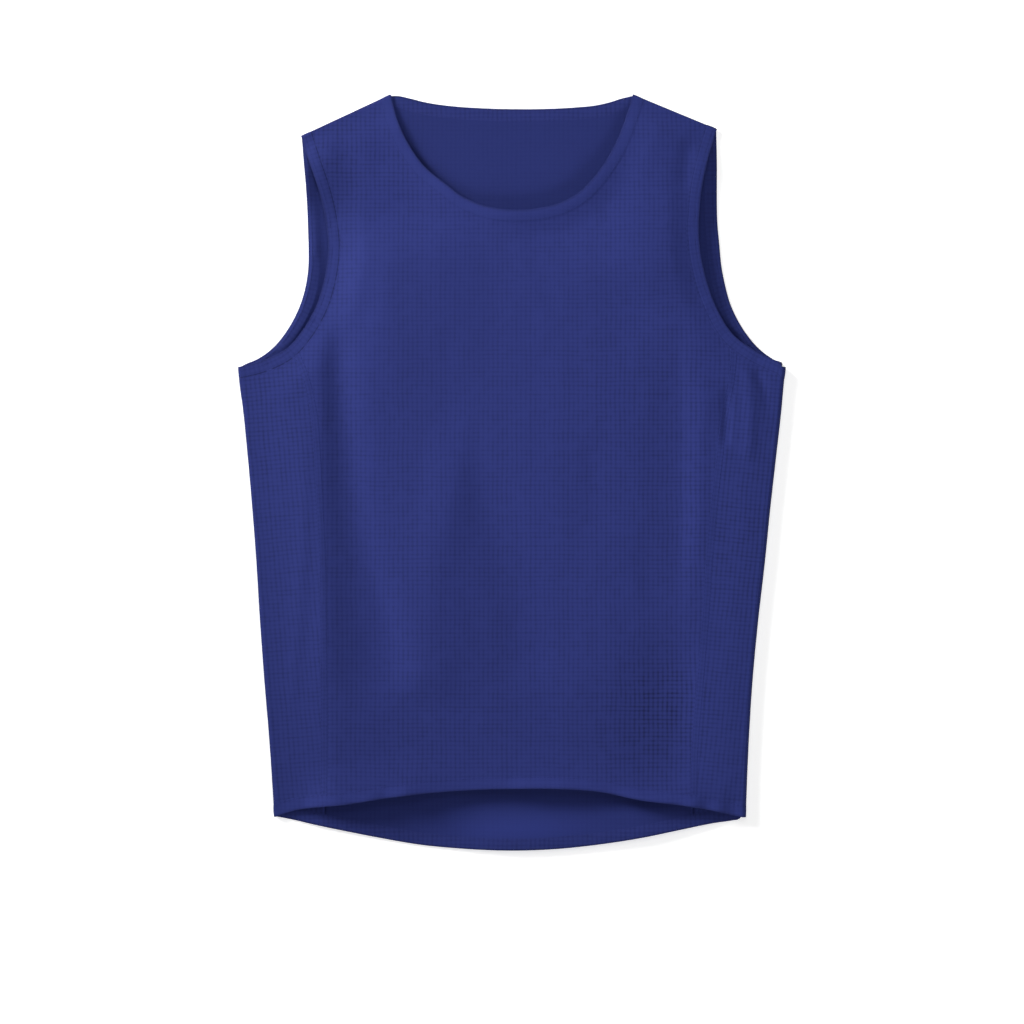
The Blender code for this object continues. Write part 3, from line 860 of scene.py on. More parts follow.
def rim_quads(quads: np.ndarray, shift: int) -> np.ndarray:
    """Quads that join a sheet's boundary to its copy, whose points are shift places further on."""
    edges = np.concatenate([quads[:, [k, (k + 1) % 4]] for k in range(4)])
    keys = edges.min(axis=1) * np.int64(shift) + edges.max(axis=1)
    _, first, count = np.unique(keys, return_index=True, return_counts=True)
    free = edges[first[count == 1]]
    return np.column_stack((free[:, 1], free[:, 0], free[:, 0] + shift, free[:, 1] + shift))


def placed(name: str, data: bpy.types.ID) -> bpy.types.Object:
    """Puts new data in the scene, at the origin."""
    made = bpy.data.objects.new(name, data)
    bpy.context.scene.collection.objects.link(made)
    return made


def solid_mesh(
    name: str, points: np.ndarray, quads: np.ndarray, uv: np.ndarray
) -> bpy.types.Object:
    """Makes a closed, smooth mesh object.

    Args:
        name: the piece's name.
        points: points in metres.
        quads: corner indices, four a face.
        uv: one coordinate pair for each point, in metres of cloth.

    Returns:
        The new object, in the scene.
    """
    mesh = bpy.data.meshes.new(name)
    mesh.from_pydata(points.tolist(), [], quads.tolist())
    work = bmesh.new()
    work.from_mesh(mesh)
    bmesh.ops.recalc_face_normals(work, faces=work.faces)
    work.to_mesh(mesh)
    work.free()
    corners = np.empty(len(mesh.loops), np.int32)
    mesh.loops.foreach_get("vertex_index", corners)
    layer = mesh.uv_layers.new(name="cloth")
    layer.data.foreach_set("uv", uv[corners].astype(np.float32).ravel())
    mesh.shade_smooth()
    return placed(name, mesh)


def dress(
    piece: bpy.types.Object, slot: str, nodes: Sequence[str], finish: bpy.types.Material
) -> None:
    """Gives a piece its material and ties it to the frame.

    Args:
        piece: the finished object.
        slot: the record's material slot.
        nodes: CAD nodes that it stands for.
        finish: its material.
    """
    piece.data.materials.clear()
    piece.data.materials.append(finish)
    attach(piece, BODY)
    if nodes:
        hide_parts(*nodes)
    mesh = piece.data
    mesh.calc_loop_triangles()
    log.info("%s: %d triangles, slot %s", piece.name, len(mesh.loop_triangles), slot)


# --- materials


class NodeSheet:
    """Adds nodes to one tree and joins them.

    Args:
        tree: the node tree that is filled.
    """

    def __init__(self, tree: bpy.types.NodeTree) -> None:
        self.tree = tree

    def put(self, socket: bpy.types.NodeSocket, value: object) -> None:
        """Joins a socket to another, or sets its value."""
        if isinstance(value, bpy.types.NodeSocket):
            self.tree.links.new(value, socket)
        else:
            socket.default_value = value

    def fill(self, node: bpy.types.Node, values: dict[str | int, object]) -> None:
        """Joins or sets a node's inputs, by name or by place."""
        for key, value in values.items():
            self.put(node.inputs[key], value)

    def add(
        self, kind: str, values: dict[str | int, object] | None = None, **settings: object
    ) -> bpy.types.Node:
        """Adds a node, sets its properties and fills its inputs."""
        node = self.tree.nodes.new(kind)
        for name, value in settings.items():
            setattr(node, name, value)
        self.fill(node, values or {})
        return node

    def math(self, operation: str, *values: object, clamp: bool = False) -> bpy.types.NodeSocket:
        """A Math node's result."""
        given = dict(enumerate(values))
        return self.add("ShaderNodeMath", given, operation=operation, use_clamp=clamp).outputs[0]

    def vector(self, operation: str, *values: object) -> bpy.types.NodeSocket:
        """A Vector Math node's vector."""
        given = dict(enumerate(values))
        return self.add("ShaderNodeVectorMath", given, operation=operation).outputs[0]

    def scaled(self, vector: object, scale: object) -> bpy.types.NodeSocket:
        """A vector times a number."""
        given = {"Vector": vector, "Scale": scale}
        return self.add("ShaderNodeVectorMath", given, operation="SCALE").outputs["Vector"]

    def noise(self, vector: object, scale: float, detail: float) -> bpy.types.Node:
        """A Noise Texture in three dimensions."""
        return self.add("ShaderNodeTexNoise", {"Vector": vector, "Scale": scale, "Detail": detail})

    def ramp(
        self, value: object, low: float, high: float, start: float, end: float
    ) -> bpy.types.NodeSocket:
        """A smooth Map Range from (low, high) to (start, end)."""
        names = ("Value", "From Min", "From Max", "To Min", "To Max")
        given = dict(zip(names, (value, low, high, start, end)))
        node = self.add("ShaderNodeMapRange", given, interpolation_type="SMOOTHSTEP")
        return node.outputs["Result"]


def new_material(name: str) -> tuple[bpy.types.Material, NodeSheet, bpy.types.Node]:
    """A material with its sheet for adding nodes and its shader."""
    made = bpy.data.materials.new(name)
    made.use_nodes = True
    return made, NodeSheet(made.node_tree), made.node_tree.nodes["Principled BSDF"]


class GroupSocket(NamedTuple):
    """One input or output of a node group."""

    name: str
    kind: str
    value: float | None = None


def shader_group(
    name: str, inputs: Sequence[GroupSocket], outputs: Sequence[GroupSocket]
) -> tuple[bpy.types.NodeTree, NodeSheet, bpy.types.Node, bpy.types.Node]:
    """Starts a shader node group with its sockets.

    Args:
        name: the group's name.
        inputs: its inputs.
        outputs: its outputs.

    Returns:
        The tree, a sheet for adding nodes, and the group's input and output nodes.
    """
    tree = bpy.data.node_groups.new(name, "ShaderNodeTree")
    for sockets, direction in ((inputs, "INPUT"), (outputs, "OUTPUT")):
        for given in sockets:
            made = tree.interface.new_socket(given.name, in_out=direction, socket_type=given.kind)
            if given.value is not None:
                made.default_value = given.value
    sheet = NodeSheet(tree)
    return tree, sheet, sheet.add("NodeGroupInput"), sheet.add("NodeGroupOutput")


def waffle_group() -> bpy.types.NodeTree:
    """Waffle knit: thin sunk lines both ways, each uneven along its length.

    Returns:
        A group whose Height is for a Bump node and whose Pit is 1 where two lines cross.
    """
    tree, sheet, given, result = shader_group(
        "waffle_knit",
        (
            GroupSocket("Cloth", "NodeSocketVector"),
            GroupSocket("Across", "NodeSocketFloat", 0.00376),
            GroupSocket("Up", "NodeSocketFloat", 0.00346),
            GroupSocket("Unevenness", "NodeSocketFloat", 0.35),
        ),
        (GroupSocket("Height", "NodeSocketFloat"), GroupSocket("Pit", "NodeSocketFloat")),
    )
    here = given.outputs
    wander = sheet.noise(here["Cloth"], 26.0, 1.0).outputs["Color"]
    wander = sheet.scaled(sheet.vector("SUBTRACT", wander, (0.5, 0.5, 0.5)), 0.0024)
    swayed = sheet.vector("ADD", here["Cloth"], wander)
    cloth = sheet.add("ShaderNodeSeparateXYZ", {0: swayed})
    lines = []
    for axis, pitch, away, weight in (("X", "Across", 3.7, 1.0), ("Y", "Up", 9.2, 0.85)):
        count = sheet.math("DIVIDE", cloth.outputs[axis], here[pitch])
        wave = sheet.math("COSINE", sheet.math("MULTIPLY", count, 2.0 * math.pi))
        line = sheet.math("POWER", sheet.math("MULTIPLY_ADD", wave, 0.5, 0.5), 1.7)
        number = sheet.math("ROUND", count)
        own = sheet.add("ShaderNodeTexWhiteNoise", {"W": number}, noise_dimensions="1D")
        weaker = sheet.math("MULTIPLY", own.outputs["Value"], here["Unevenness"])
        line = sheet.math("MULTIPLY", line, sheet.math("SUBTRACT", weight, weaker))
        moved = sheet.vector("ADD", here["Cloth"], (away, 0.0, away))
        patch = sheet.ramp(sheet.noise(moved, 120.0, 2.0).outputs["Fac"], 0.36, 0.62, 0.5, 1.0)
        lines.append(sheet.math("MULTIPLY", line, patch))
    both = sheet.math("ADD", *lines)
    yarn = sheet.noise(here["Cloth"], 1100.0, 2.0).outputs["Fac"]
    raised = sheet.math("SUBTRACT", 1.0, sheet.math("MULTIPLY", both, 0.5))
    height = sheet.math("MULTIPLY_ADD", yarn, 0.25, raised)
    pit = sheet.math("MULTIPLY", both, 0.8, clamp=True)
    sheet.fill(result, {"Height": height, "Pit": pit})
    return tree


def tone_group() -> bpy.types.NodeTree:
    """Uneven dye and light fuzz: a factor near 1 for the base colour.

    Returns:
        A group with one output, Tone.
    """
    tree, sheet, given, result = shader_group(
        "cloth_tone",
        (
            GroupSocket("Cloth", "NodeSocketVector"),
            GroupSocket("Spread", "NodeSocketFloat", 0.05),
            GroupSocket("Fuzz", "NodeSocketFloat", 0.06),
        ),
        (GroupSocket("Tone", "NodeSocketFloat"),),
    )
    parts = []
    for name, scale, detail in (("Spread", 14.0, 3.0), ("Fuzz", 900.0, 1.0)):
        uneven = sheet.noise(given.outputs["Cloth"], scale, detail).outputs["Fac"]
        middle = sheet.math("SUBTRACT", uneven, 0.5)
        parts.append(sheet.math("MULTIPLY", middle, given.outputs[name]))
    sheet.fill(result, {"Tone": sheet.math("ADD", sheet.math("ADD", *parts), 1.0)})
    return tree


@dataclass(frozen=True)
class KnitFinish:
    """A knit in its colour.

    Args:
        name: the material's name.
        slot: the record's slot.
        colour: linear base colour.
        across: pitch of the ribs across, in metres.
        up: pitch of the ribs up, in metres.
        pit_shade: how much darker a pit is, painted shade in the knit's hollows.
        bump: height of the ribs in metres.
        roughness: surface roughness.
        sheen: weight of the fibre sheen.
        sheen_tint: linear colour of the fibre sheen.
        tone: spread of the dye's tone.
    """

    name: str
    slot: str
    colour: tuple[float, float, float]
    across: float = 0.00376
    up: float = 0.00346
    pit_shade: float = 0.33
    bump: float = 0.00004
    roughness: float = 0.85
    sheen: float = 0.05
    sheen_tint: tuple[float, ...] = (0.35, 0.42, 0.9, 1.0)
    tone: float = 0.03

    def material(self, waffle: bpy.types.NodeTree, tone: bpy.types.NodeTree) -> bpy.types.Material:
        """Builds the material.

        Args:
            waffle: the waffle knit group.
            tone: the cloth tone group.

        Returns:
            The new material.
        """
        made, sheet, shader = new_material(self.name)
        cloth = sheet.add("ShaderNodeUVMap", uv_map="cloth").outputs["UV"]
        ribs = {"Cloth": cloth, "Across": self.across, "Up": self.up}
        knit = sheet.add("ShaderNodeGroup", ribs, node_tree=waffle).outputs
        dye = {"Cloth": cloth, "Spread": self.tone}
        drift = sheet.add("ShaderNodeGroup", dye, node_tree=tone).outputs["Tone"]
        open_knit = sheet.add("ShaderNodeAttribute", attribute_name="open_knit").outputs["Fac"]
        pit = sheet.math("MULTIPLY", knit["Pit"], open_knit)
        shade = sheet.math("SUBTRACT", 1.0, sheet.math("MULTIPLY", pit, self.pit_shade))
        # The tone attribute brings the painted shade and light into the base colour.
        yarn = sheet.add("ShaderNodeAttribute", attribute_name="yarn_tone").outputs["Fac"]
        factor = sheet.math("MULTIPLY", sheet.math("MULTIPLY", shade, yarn), drift)
        height = sheet.math("MULTIPLY", knit["Height"], open_knit)
        bump = sheet.add("ShaderNodeBump", {"Distance": self.bump, "Height": height})
        values = {
            "Base Color": sheet.scaled(self.colour, factor),
            "Normal": bump.outputs["Normal"],
            "Roughness": self.roughness,
            "Sheen Weight": self.sheen,
            "Sheen Roughness": 0.5,
            "Sheen Tint": self.sheen_tint,
            "Specular IOR Level": 0.14,
        }
        sheet.fill(shader, values)
        return made


@dataclass(frozen=True)
class ThreadFinish:
    """Sewing thread with a fine twist.

    Args:
        name: the material's name.
        colour: linear base colour.
        roughness: surface roughness.
        fuzz: unevenness of its tone.
    """

    name: str
    colour: tuple[float, float, float]
    roughness: float = 0.6
    fuzz: float = 0.3

    def material(self, tone: bpy.types.NodeTree) -> bpy.types.Material:
        """Builds the material from the cloth tone group, on Object coordinates."""
        made, sheet, shader = new_material(self.name)
        twist = {"Cloth": sheet.add("ShaderNodeTexCoord").outputs["Object"], "Fuzz": self.fuzz}
        drift = sheet.add("ShaderNodeGroup", twist, node_tree=tone).outputs["Tone"]
        colour = sheet.scaled(self.colour, drift)
        values = {"Base Color": colour, "Roughness": self.roughness, "Specular IOR Level": 0.08}
        sheet.fill(shader, values)
        return made


FRONT_KNIT = KnitFinish("front_waffle", "mesh_knit", (0.0215, 0.0314, 0.1675))
# The back's knit is a darker copy of the front's. This is painted shade: the back's inside only
# shows in the front's shade.
BACK_KNIT = KnitFinish("back_waffle", "back_knit", (0.0174, 0.0263, 0.1445), pit_shade=0.16)
SIDE_KNIT = KnitFinish("side_waffle", "side_knit", (0.0209, 0.0308, 0.1645))
TRIM_KNIT = KnitFinish("trim_knit", "binding_knit", (0.0214, 0.0314, 0.167))
HEM_KNIT = KnitFinish("hem_knit_cloth", "hem_knit", (0.0218, 0.0319, 0.170))
THREAD = ThreadFinish("sewing_thread", (0.0130, 0.0190, 0.101))


class Wardrobe:
    """All materials of the garment, each built once."""

    def __init__(self) -> None:
        waffle, tone = waffle_group(), tone_group()
        finishes = (FRONT_KNIT, BACK_KNIT, SIDE_KNIT, TRIM_KNIT, HEM_KNIT)
        self.knit = {finish.name: finish.material(waffle, tone) for finish in finishes}
        self.thread = THREAD.material(tone)


def mark_knit(
    piece: bpy.types.Object, openness: np.ndarray | float, tone: np.ndarray | float
) -> None:
    """Writes the attributes that the materials read at each point.

    Args:
        piece: a piece of cloth.
        openness: how open its knit is.
        tone: factor of its colour, which carries the painted shade and light.
    """
    count = len(piece.data.vertices)
    for name, values in (("open_knit", openness), ("yarn_tone", tone)):
        layer = piece.data.attributes.new(name, "FLOAT", "POINT")
        layer.data.foreach_set("value", np.broadcast_to(values, count).astype(np.float32))


class KnitPatch(NamedTuple):
    """A place where the knit's pits show darker, or paler for a negative strength: its middle,
    radius and strength.
    """

    x: float
    y: float
    radius: float
    strength: float


# The patch below the middle of the front hem is painted light, together with the back's paler
# patch. The others darken or pale the pits where they stand.
KNIT_PATCHES = table(
    KnitPatch,
    (120, -182, 34, 0.9), (114, -226, 30, 0.35), (188, -60, 70, 0.3), (-185, 40, 60, 0.2),
    (120, 60, 90, 0.2), (-128, 256, 42, 0.3), (-10, 130, 120, -0.2), (14, -290, 42, -0.6),
)
USUAL_OPENNESS = 0.85


def knit_openness(plan: np.ndarray) -> np.ndarray:
    """How open the knit is at plan points."""
    value = np.full(len(plan), USUAL_OPENNESS)
    for patch in KNIT_PATCHES:
        apart = np.hypot(plan[:, 0] - patch.x, plan[:, 1] - patch.y)
        value += patch.strength * np.exp(-((apart / patch.radius) ** 2))
    return value


@dataclass(frozen=True)
class PaintedLightPatch:
    """Painted light: a paler pool on the back's inside, below the middle of the front hem.

    Args:
        x: its middle, across.
        y: its middle, along.
        half_width: how far it fades across.
        half_height: how far it fades along.
        gain: how much paler its middle is painted.
        ground: painted shade, the tone of the rest of the back.
    """

    x: float = 6.0
    y: float = -286.0
    half_width: float = 66.0
    half_height: float = 13.0
    gain: float = 0.3
    ground: float = 0.96

    def tone(self, plan: np.ndarray) -> np.ndarray:
        """Factor of the cloth's colour at plan points: the painted light and shade."""
        across = (plan[:, 0] - self.x) / self.half_width
        along = (plan[:, 1] - self.y) / self.half_height
        return self.ground + self.gain * np.exp(-(across**2) - along**2)


PAINTED_HEM_LIGHT = PaintedLightPatch()


# --- panels


@dataclass(kw_only=True)
class Panel:
    """What all panels share: a thin shell whose edges are tucked under trims and seams.

    Args:
        drape: the garment's drape.
        levels: levels of its outside and its inside in the solids' wall.
        tuck: how far it runs under a trim.
        step: size of the mesh's squares.
    """

    drape: Drape
    levels: tuple[float, float] = (0.80, 0.12)
    tuck: float = 2.5
    step: float = 2.4

    def piece(
        self, name: str, spots: Spots, quads: np.ndarray, uv: np.ndarray, tone: np.ndarray
    ) -> bpy.types.Object:
        """Builds the panel's shell.

        Args:
            name: the piece's name.
            spots: its places.
            quads: faces between them.
            uv: cloth coordinates of the places.
            tone: factor of the colour at the places, which holds the painted shade and light.

        Returns:
            The object.
        """
        made = self.drape.shell(name, spots, self.levels, quads, uv)
        mark_knit(made, np.tile(knit_openness(spots.plan), 2), np.tile(tone, 2))
        return made


@dataclass(kw_only=True)
class BodyPanel(Panel):
    """The front or the back panel.

    Args:
        layer: which panel.
        curl_rows: rows round a shoulder fold.
        last_turn: angle at which the panel ends in a shoulder fold, in degrees.
        evenness: how far the columns are even, and not drawn to the neck's width.
    """

    layer: Layer
    curl_rows: int = 5
    last_turn: float = 4.0
    evenness: float = 0.3

    def __post_init__(self) -> None:
        """Finds where the side seams meet the panel's own edges."""
        cut = self.drape.pattern
        self.depth = cut.band - self.tuck
        self.hem = cut.hem[self.layer]
        self.neck = cut.neck[self.layer]
        self.arm = {side: cut.arm[side, self.layer] for side in Side}
        self.arm_seam = {s: cut.seam_distance(self.arm[s], s, self.depth) for s in Side}
        self.hem_seam = {
            s: cut.seam_distance(self.hem, s, self.depth, from_end=s is Side.RIGHT) for s in Side
        }

    def shoulder_steps(self) -> int:
        """Columns on one shoulder."""
        tip, neck, _ = self.drape.pattern.shoulder[Side.LEFT]
        return round(np.linalg.norm(neck - tip) / self.step)

    def top_line(self) -> np.ndarray:
        """Shoulder, neck, shoulder: the upper boundary from left to right."""
        neck_steps = round(self.neck.length / self.step)
        neck = self.neck.inner(np.linspace(0.0, self.neck.length, neck_steps + 1), self.depth)
        tips = [self.arm[side].inner(self.arm[side].length, self.depth)[0] for side in Side]
        share = np.linspace(0.0, 1.0, self.shoulder_steps() + 1)[:, None]
        first = tips[0] + (neck[0] - tips[0]) * share[:-1]
        last = neck[-1] + (tips[1] - neck[-1]) * share[1:]
        return np.vstack((first, neck, last))

    def body_side(self, side: Side, seam_rows: int, arm_rows: int) -> np.ndarray:
        """Side seam and armhole of the panel, from hem to shoulder."""
        cut = self.drape.pattern
        low = self.hem.inner(self.hem_seam[side], self.depth)[0]
        high = self.arm[side].inner(self.arm_seam[side], self.depth)[0]
        levels = np.linspace(low[1], high[1], seam_rows + 1)[1:-1]
        seam = cut.side_seam[side].point(levels) + (side.inward * cut.seam / 2, 0.0)
        reach = np.linspace(self.arm_seam[side], self.arm[side].length, arm_rows + 1)
        arm = self.arm[side].inner(reach, self.depth)
        return np.vstack((low, seam, arm))

    def grid(self) -> np.ndarray:
        """Plan grid of the panel, rows upwards."""
        height = self.arm[Side.LEFT].at(0.0)[1] - self.hem.at(0.0)[1]
        seam_rows = round(height / self.step)
        arm_rows = round(self.arm[Side.LEFT].length / self.step)
        left, right = (self.body_side(side, seam_rows, arm_rows) for side in Side)
        top = self.top_line()
        drawn = (top[:, 0] - top[0, 0]) / (top[-1, 0] - top[0, 0])
        even = np.linspace(0.0, 1.0, len(top))
        columns = (1.0 - self.evenness) * drawn + self.evenness * even
        low, high = self.hem_seam[Side.LEFT], self.hem_seam[Side.RIGHT]
        bottom = self.hem.inner(low + (high - low) * columns, self.depth)
        bottom[0], bottom[-1] = left[0], right[0]
        rows = (shares_of(left) + shares_of(right)) / 2
        return coons(bottom, top, left, right, columns, rows)

    def build(self, name: str) -> tuple[bpy.types.Object, float, tuple[float, float]]:
        """Builds the panel's shell.

        Args:
            name: the piece's name.

        Returns:
            The object, the cut's flat area, and its flat width and length.
        """
        grid = self.grid()
        rows, columns = grid.shape[:2]
        index = np.arange(rows * columns).reshape(rows, columns)
        parts = [Spots.flat(grid, self.layer)]
        quads = [lattice(index)]
        count = rows * columns
        facing = 1.0 if self.layer is Layer.FRONT else -1.0
        turns = np.radians(facing * np.linspace(90.0, self.last_turn, self.curl_rows + 1)[1:])
        run = self.shoulder_steps() + 1
        for side, part in zip(Side, (slice(0, run), slice(columns - run, columns))):
            outward = self.drape.pattern.shoulder[side][2]
            gap = self.drape.pattern.shoulder_gap
            parts += [Spots.folded(grid[-1, part], outward, turn, gap) for turn in turns]
            curl = count + np.arange(self.curl_rows * run).reshape(self.curl_rows, run)
            quads.append(lattice(np.vstack((index[-1, part], curl))))
            count += self.curl_rows * run
        spots = Spots.joined(parts)
        # Painted shade where the panel turns round a shoulder fold.
        tone = spots.painted_fold_shade()
        # Painted light on the back's inside below the middle of the front hem, and painted shade on
        # the rest of the back.
        if self.layer is Layer.BACK:
            tone *= PAINTED_HEM_LIGHT.tone(spots.plan)
        made = self.piece(name, spots, np.vstack(quads), spots.plan * MM, tone)
        width, length = (float(size) * MM for size in np.ptp(grid.reshape(-1, 2), axis=0))
        return made, grid_area(grid), (width, length)


@dataclass(kw_only=True)
class SidePanel(Panel):
    """A side panel, from the front seam round the side fold to the back seam.

    Args:
        side: which side.
        flank_width: usual width of its front and of its back.
        fold_columns: columns round the side fold.
        fold_levels: lowest and highest level at which the fold's direction is read.
        slant: how much wider the cut is than its even width.
        ends: length of the cut beyond the side fold.
    """

    side: Side
    flank_width: float = 54.0
    fold_columns: int = 8
    fold_levels: tuple[float, float] = (-262.0, 70.0)
    slant: float = 1.25
    ends: float = 12.0

    def flank(self, layer: Layer, columns: int, rows: int) -> np.ndarray:
        """Plan grid from the side fold to the side seam, rows from hem to armhole."""
        panel = BodyPanel(drape=self.drape, layer=layer, tuck=self.tuck)
        cut, side = self.drape.pattern, self.side
        arm, hem = panel.arm[side], panel.hem
        start = 0.0 if side is Side.LEFT else hem.length
        share = np.linspace(0.0, 1.0, columns + 1)
        bottom = hem.inner(start + (panel.hem_seam[side] - start) * share, panel.depth)
        top = arm.inner(panel.arm_seam[side] * share, panel.depth)
        aside = np.array((-side.inward * cut.seam / 2, 0.0))
        seam = cut.side_seam[side].point(np.linspace(bottom[-1, 1], top[-1, 1], rows + 1)) + aside
        seam[0], seam[-1] = bottom[-1], top[-1]
        fold = cut.side_fold[side].point(np.linspace(bottom[0, 1], top[0, 1], rows + 1))
        fold[0], fold[-1] = bottom[0], top[0]
        return coons(bottom, top, fold, seam, share, np.linspace(0.0, 1.0, rows + 1))

    def build(self, name: str) -> tuple[bpy.types.Object, float, tuple[float, float]]:
        """Builds the panel's shell.

        Args:
            name: the piece's name.

        Returns:
            The object, the cut's flat area, and its flat width and length.
        """
        cut = self.drape.pattern
        height = cut.top_level - cut.low_level
        rows, columns = round(height / self.step), round(self.flank_width / self.step)
        front, back = (self.flank(layer, columns, rows) for layer in Layer)
        turns = np.radians(np.linspace(90.0, -90.0, self.fold_columns + 1)[1:-1])
        level = np.clip((front[:, 0, 1] + back[:, 0, 1]) / 2, *self.fold_levels)
        outward = quarter_turn(cut.side_fold[self.side].down(level), self.side.inward)
        parts = [Spots.flat(front[:, k], Layer.FRONT) for k in range(columns, -1, -1)]
        for k, turn in enumerate(turns):
            share = (k + 1) / self.fold_columns
            axis = front[:, 0] + (back[:, 0] - front[:, 0]) * share
            parts.append(Spots.folded(axis, outward, turn, cut.side_gap[self.side]))
        parts += [Spots.flat(back[:, k], Layer.BACK) for k in range(columns + 1)]
        spots = Spots.joined(parts)
        index = np.arange(len(spots.plan)).reshape(len(parts), rows + 1)
        # Painted shade where the panel turns round the side fold.
        made = self.piece(name, spots, lattice(index), self.cloth_uv(spots), spots.painted_fold_shade())
        round_fold = math.pi * cut.side_radius[self.side]
        area = grid_area(front) + grid_area(back) + round_fold * height * MM * MM
        width = sum(float(np.ptp(g[:, :, 0].mean(axis=0))) for g in (front, back)) + round_fold
        return made, area, (width * self.slant * MM, (height + self.ends) * MM)

    def cloth_uv(self, spots: Spots) -> np.ndarray:
        """Cloth coordinates in metres: along the side fold, and across from it."""
        cut = self.drape.pattern
        top, low = cut.underarm[self.side], cut.hem_corner[self.side]
        along = unit(top - low)
        across = quarter_turn(along, 1.0)
        offset = spots.plan - low
        u, v = offset @ across, offset @ along
        radius = cut.side_radius[self.side]
        turned = radius * (math.pi / 2 - spots.turn)
        inward = self.side.inward
        u = np.where(spots.lie == Lie.FOLD.value, -inward * turned, u)
        u = np.where(spots.lie == Lie.BACK.value, -u - inward * math.pi * radius, u)
        return np.column_stack((u, v)) * MM


# --- trims and seams


class SectionPoint(NamedTuple):
    """A point of a trim's section: depth from the free edge, and level in the cloth wall."""

    depth: float
    level: float


TRIM_SECTION = table(  # out along the outside, back along the inside
    SectionPoint,
    (0, 0.5), (0.02, 0.88), (0.08, 0.98), (0.26, 1), (2.2, 1.02), (4.6, 1.02), (7, 0.97),
    (8.2, 0.92), (8.8, 0.9), (9.4, 0.86), (10.4, 0.78), (11.2, 0.7), (11.2, 0.26), (10.4, 0.16),
    (9.4, 0.08), (8.8, 0.06), (8.2, 0.04), (7, 0.01), (4.6, 0), (2.2, 0), (0.8, 0.03), (0.34, 0.1),
    (0.1, 0.26),
)
GROOVE_POINT = 8
OUTSIDE_POINTS = 12


@dataclass(frozen=True)
class TrimStyle:
    """How one trim looks.

    Args:
        outside: openness of the knit on the outside.
        edge: openness of the knit beside the panel.
        inside: openness of the knit on the inside.
        tone: factor of the colour on the outside.
        inside_shade: factor of the colour on the inside, painted shade where the inside shows on
            the back layer.
        groove: depth of the stitch groove, as a share of the wall.
        groove_shade: factor of the colour in the groove, painted shade in its hollow.
        rim_shade: factor of the colour at the turned edge, painted shade where it turns away.
        pucker: height of the ripples along it, as a share of the wall.
        straight_knit: whether its knit runs with the panels' knit, and not along the trim.
        stitch_depths: depths of its rows of stitches.
    """

    outside: float = 0.3
    edge: float = 0.6
    inside: float = 0.6
    tone: float = 0.97
    inside_shade: float = 0.93
    groove: float = 0.0
    groove_shade: float = 1.0
    rim_shade: float = 0.74
    pucker: float = 0.07
    straight_knit: bool = False
    stitch_depths: tuple[float, ...] = (8.8,)

    def stitch_level(self, depth: float) -> float:
        """Level of a row of stitches: on the trim's crown, or in the groove beside the panel."""
        crown_reach, crown_level, groove_level = 7.0, 0.98, 0.87
        return crown_level if depth < crown_reach else groove_level - self.groove


# Painted shade in the stitch groove, darker on the left armhole than on the right.
ARMHOLE_STYLES = {
    side: TrimStyle(
        0.5, 0.8, groove=0.1, groove_shade=groove_shade, pucker=0.14, stitch_depths=(3.2, 8.8)
    )
    for side, groove_shade in ((Side.LEFT, 0.4), (Side.RIGHT, 0.8))
}
# The fifth value of each is the painted shade of the trim's inside.
NECK_STYLE = TrimStyle(0.35, 0.7, 0.85, 1.0, 0.96, pucker=0.06, straight_knit=True)
HEM_STYLE = TrimStyle(0.45, 0.85, 0.85, 1.0, 0.96, pucker=0.1, straight_knit=True)


@dataclass
class Ring:
    """Stations of a trim, in order round it.

    Args:
        spots: places on the free edge.
        width: direction into the cloth at each station.
    """

    spots: Spots
    width: np.ndarray

    @classmethod
    def joined(cls, parts: Sequence[Ring]) -> Ring:
        """Several stretches as one ring."""
        spots = Spots.joined([part.spots for part in parts])
        return cls(spots, np.concatenate([part.width for part in parts]))

    @classmethod
    def along(cls, edge: Edge, layer: Layer, distance: np.ndarray) -> Ring:
        """Stations on a free edge."""
        return cls(Spots.flat(edge.at(distance), layer), edge.width(distance))

    @classmethod
    def round_fold(
        cls, axis: np.ndarray, width: np.ndarray, outward: np.ndarray, gap: float, turns: np.ndarray
    ) -> Ring:
        """Stations round a fold at the free edge."""
        count = len(turns)
        spots = Spots.folded(np.tile(axis, (count, 1)), outward, np.radians(turns), gap)
        return cls(spots, np.tile(unit(width), (count, 1)))


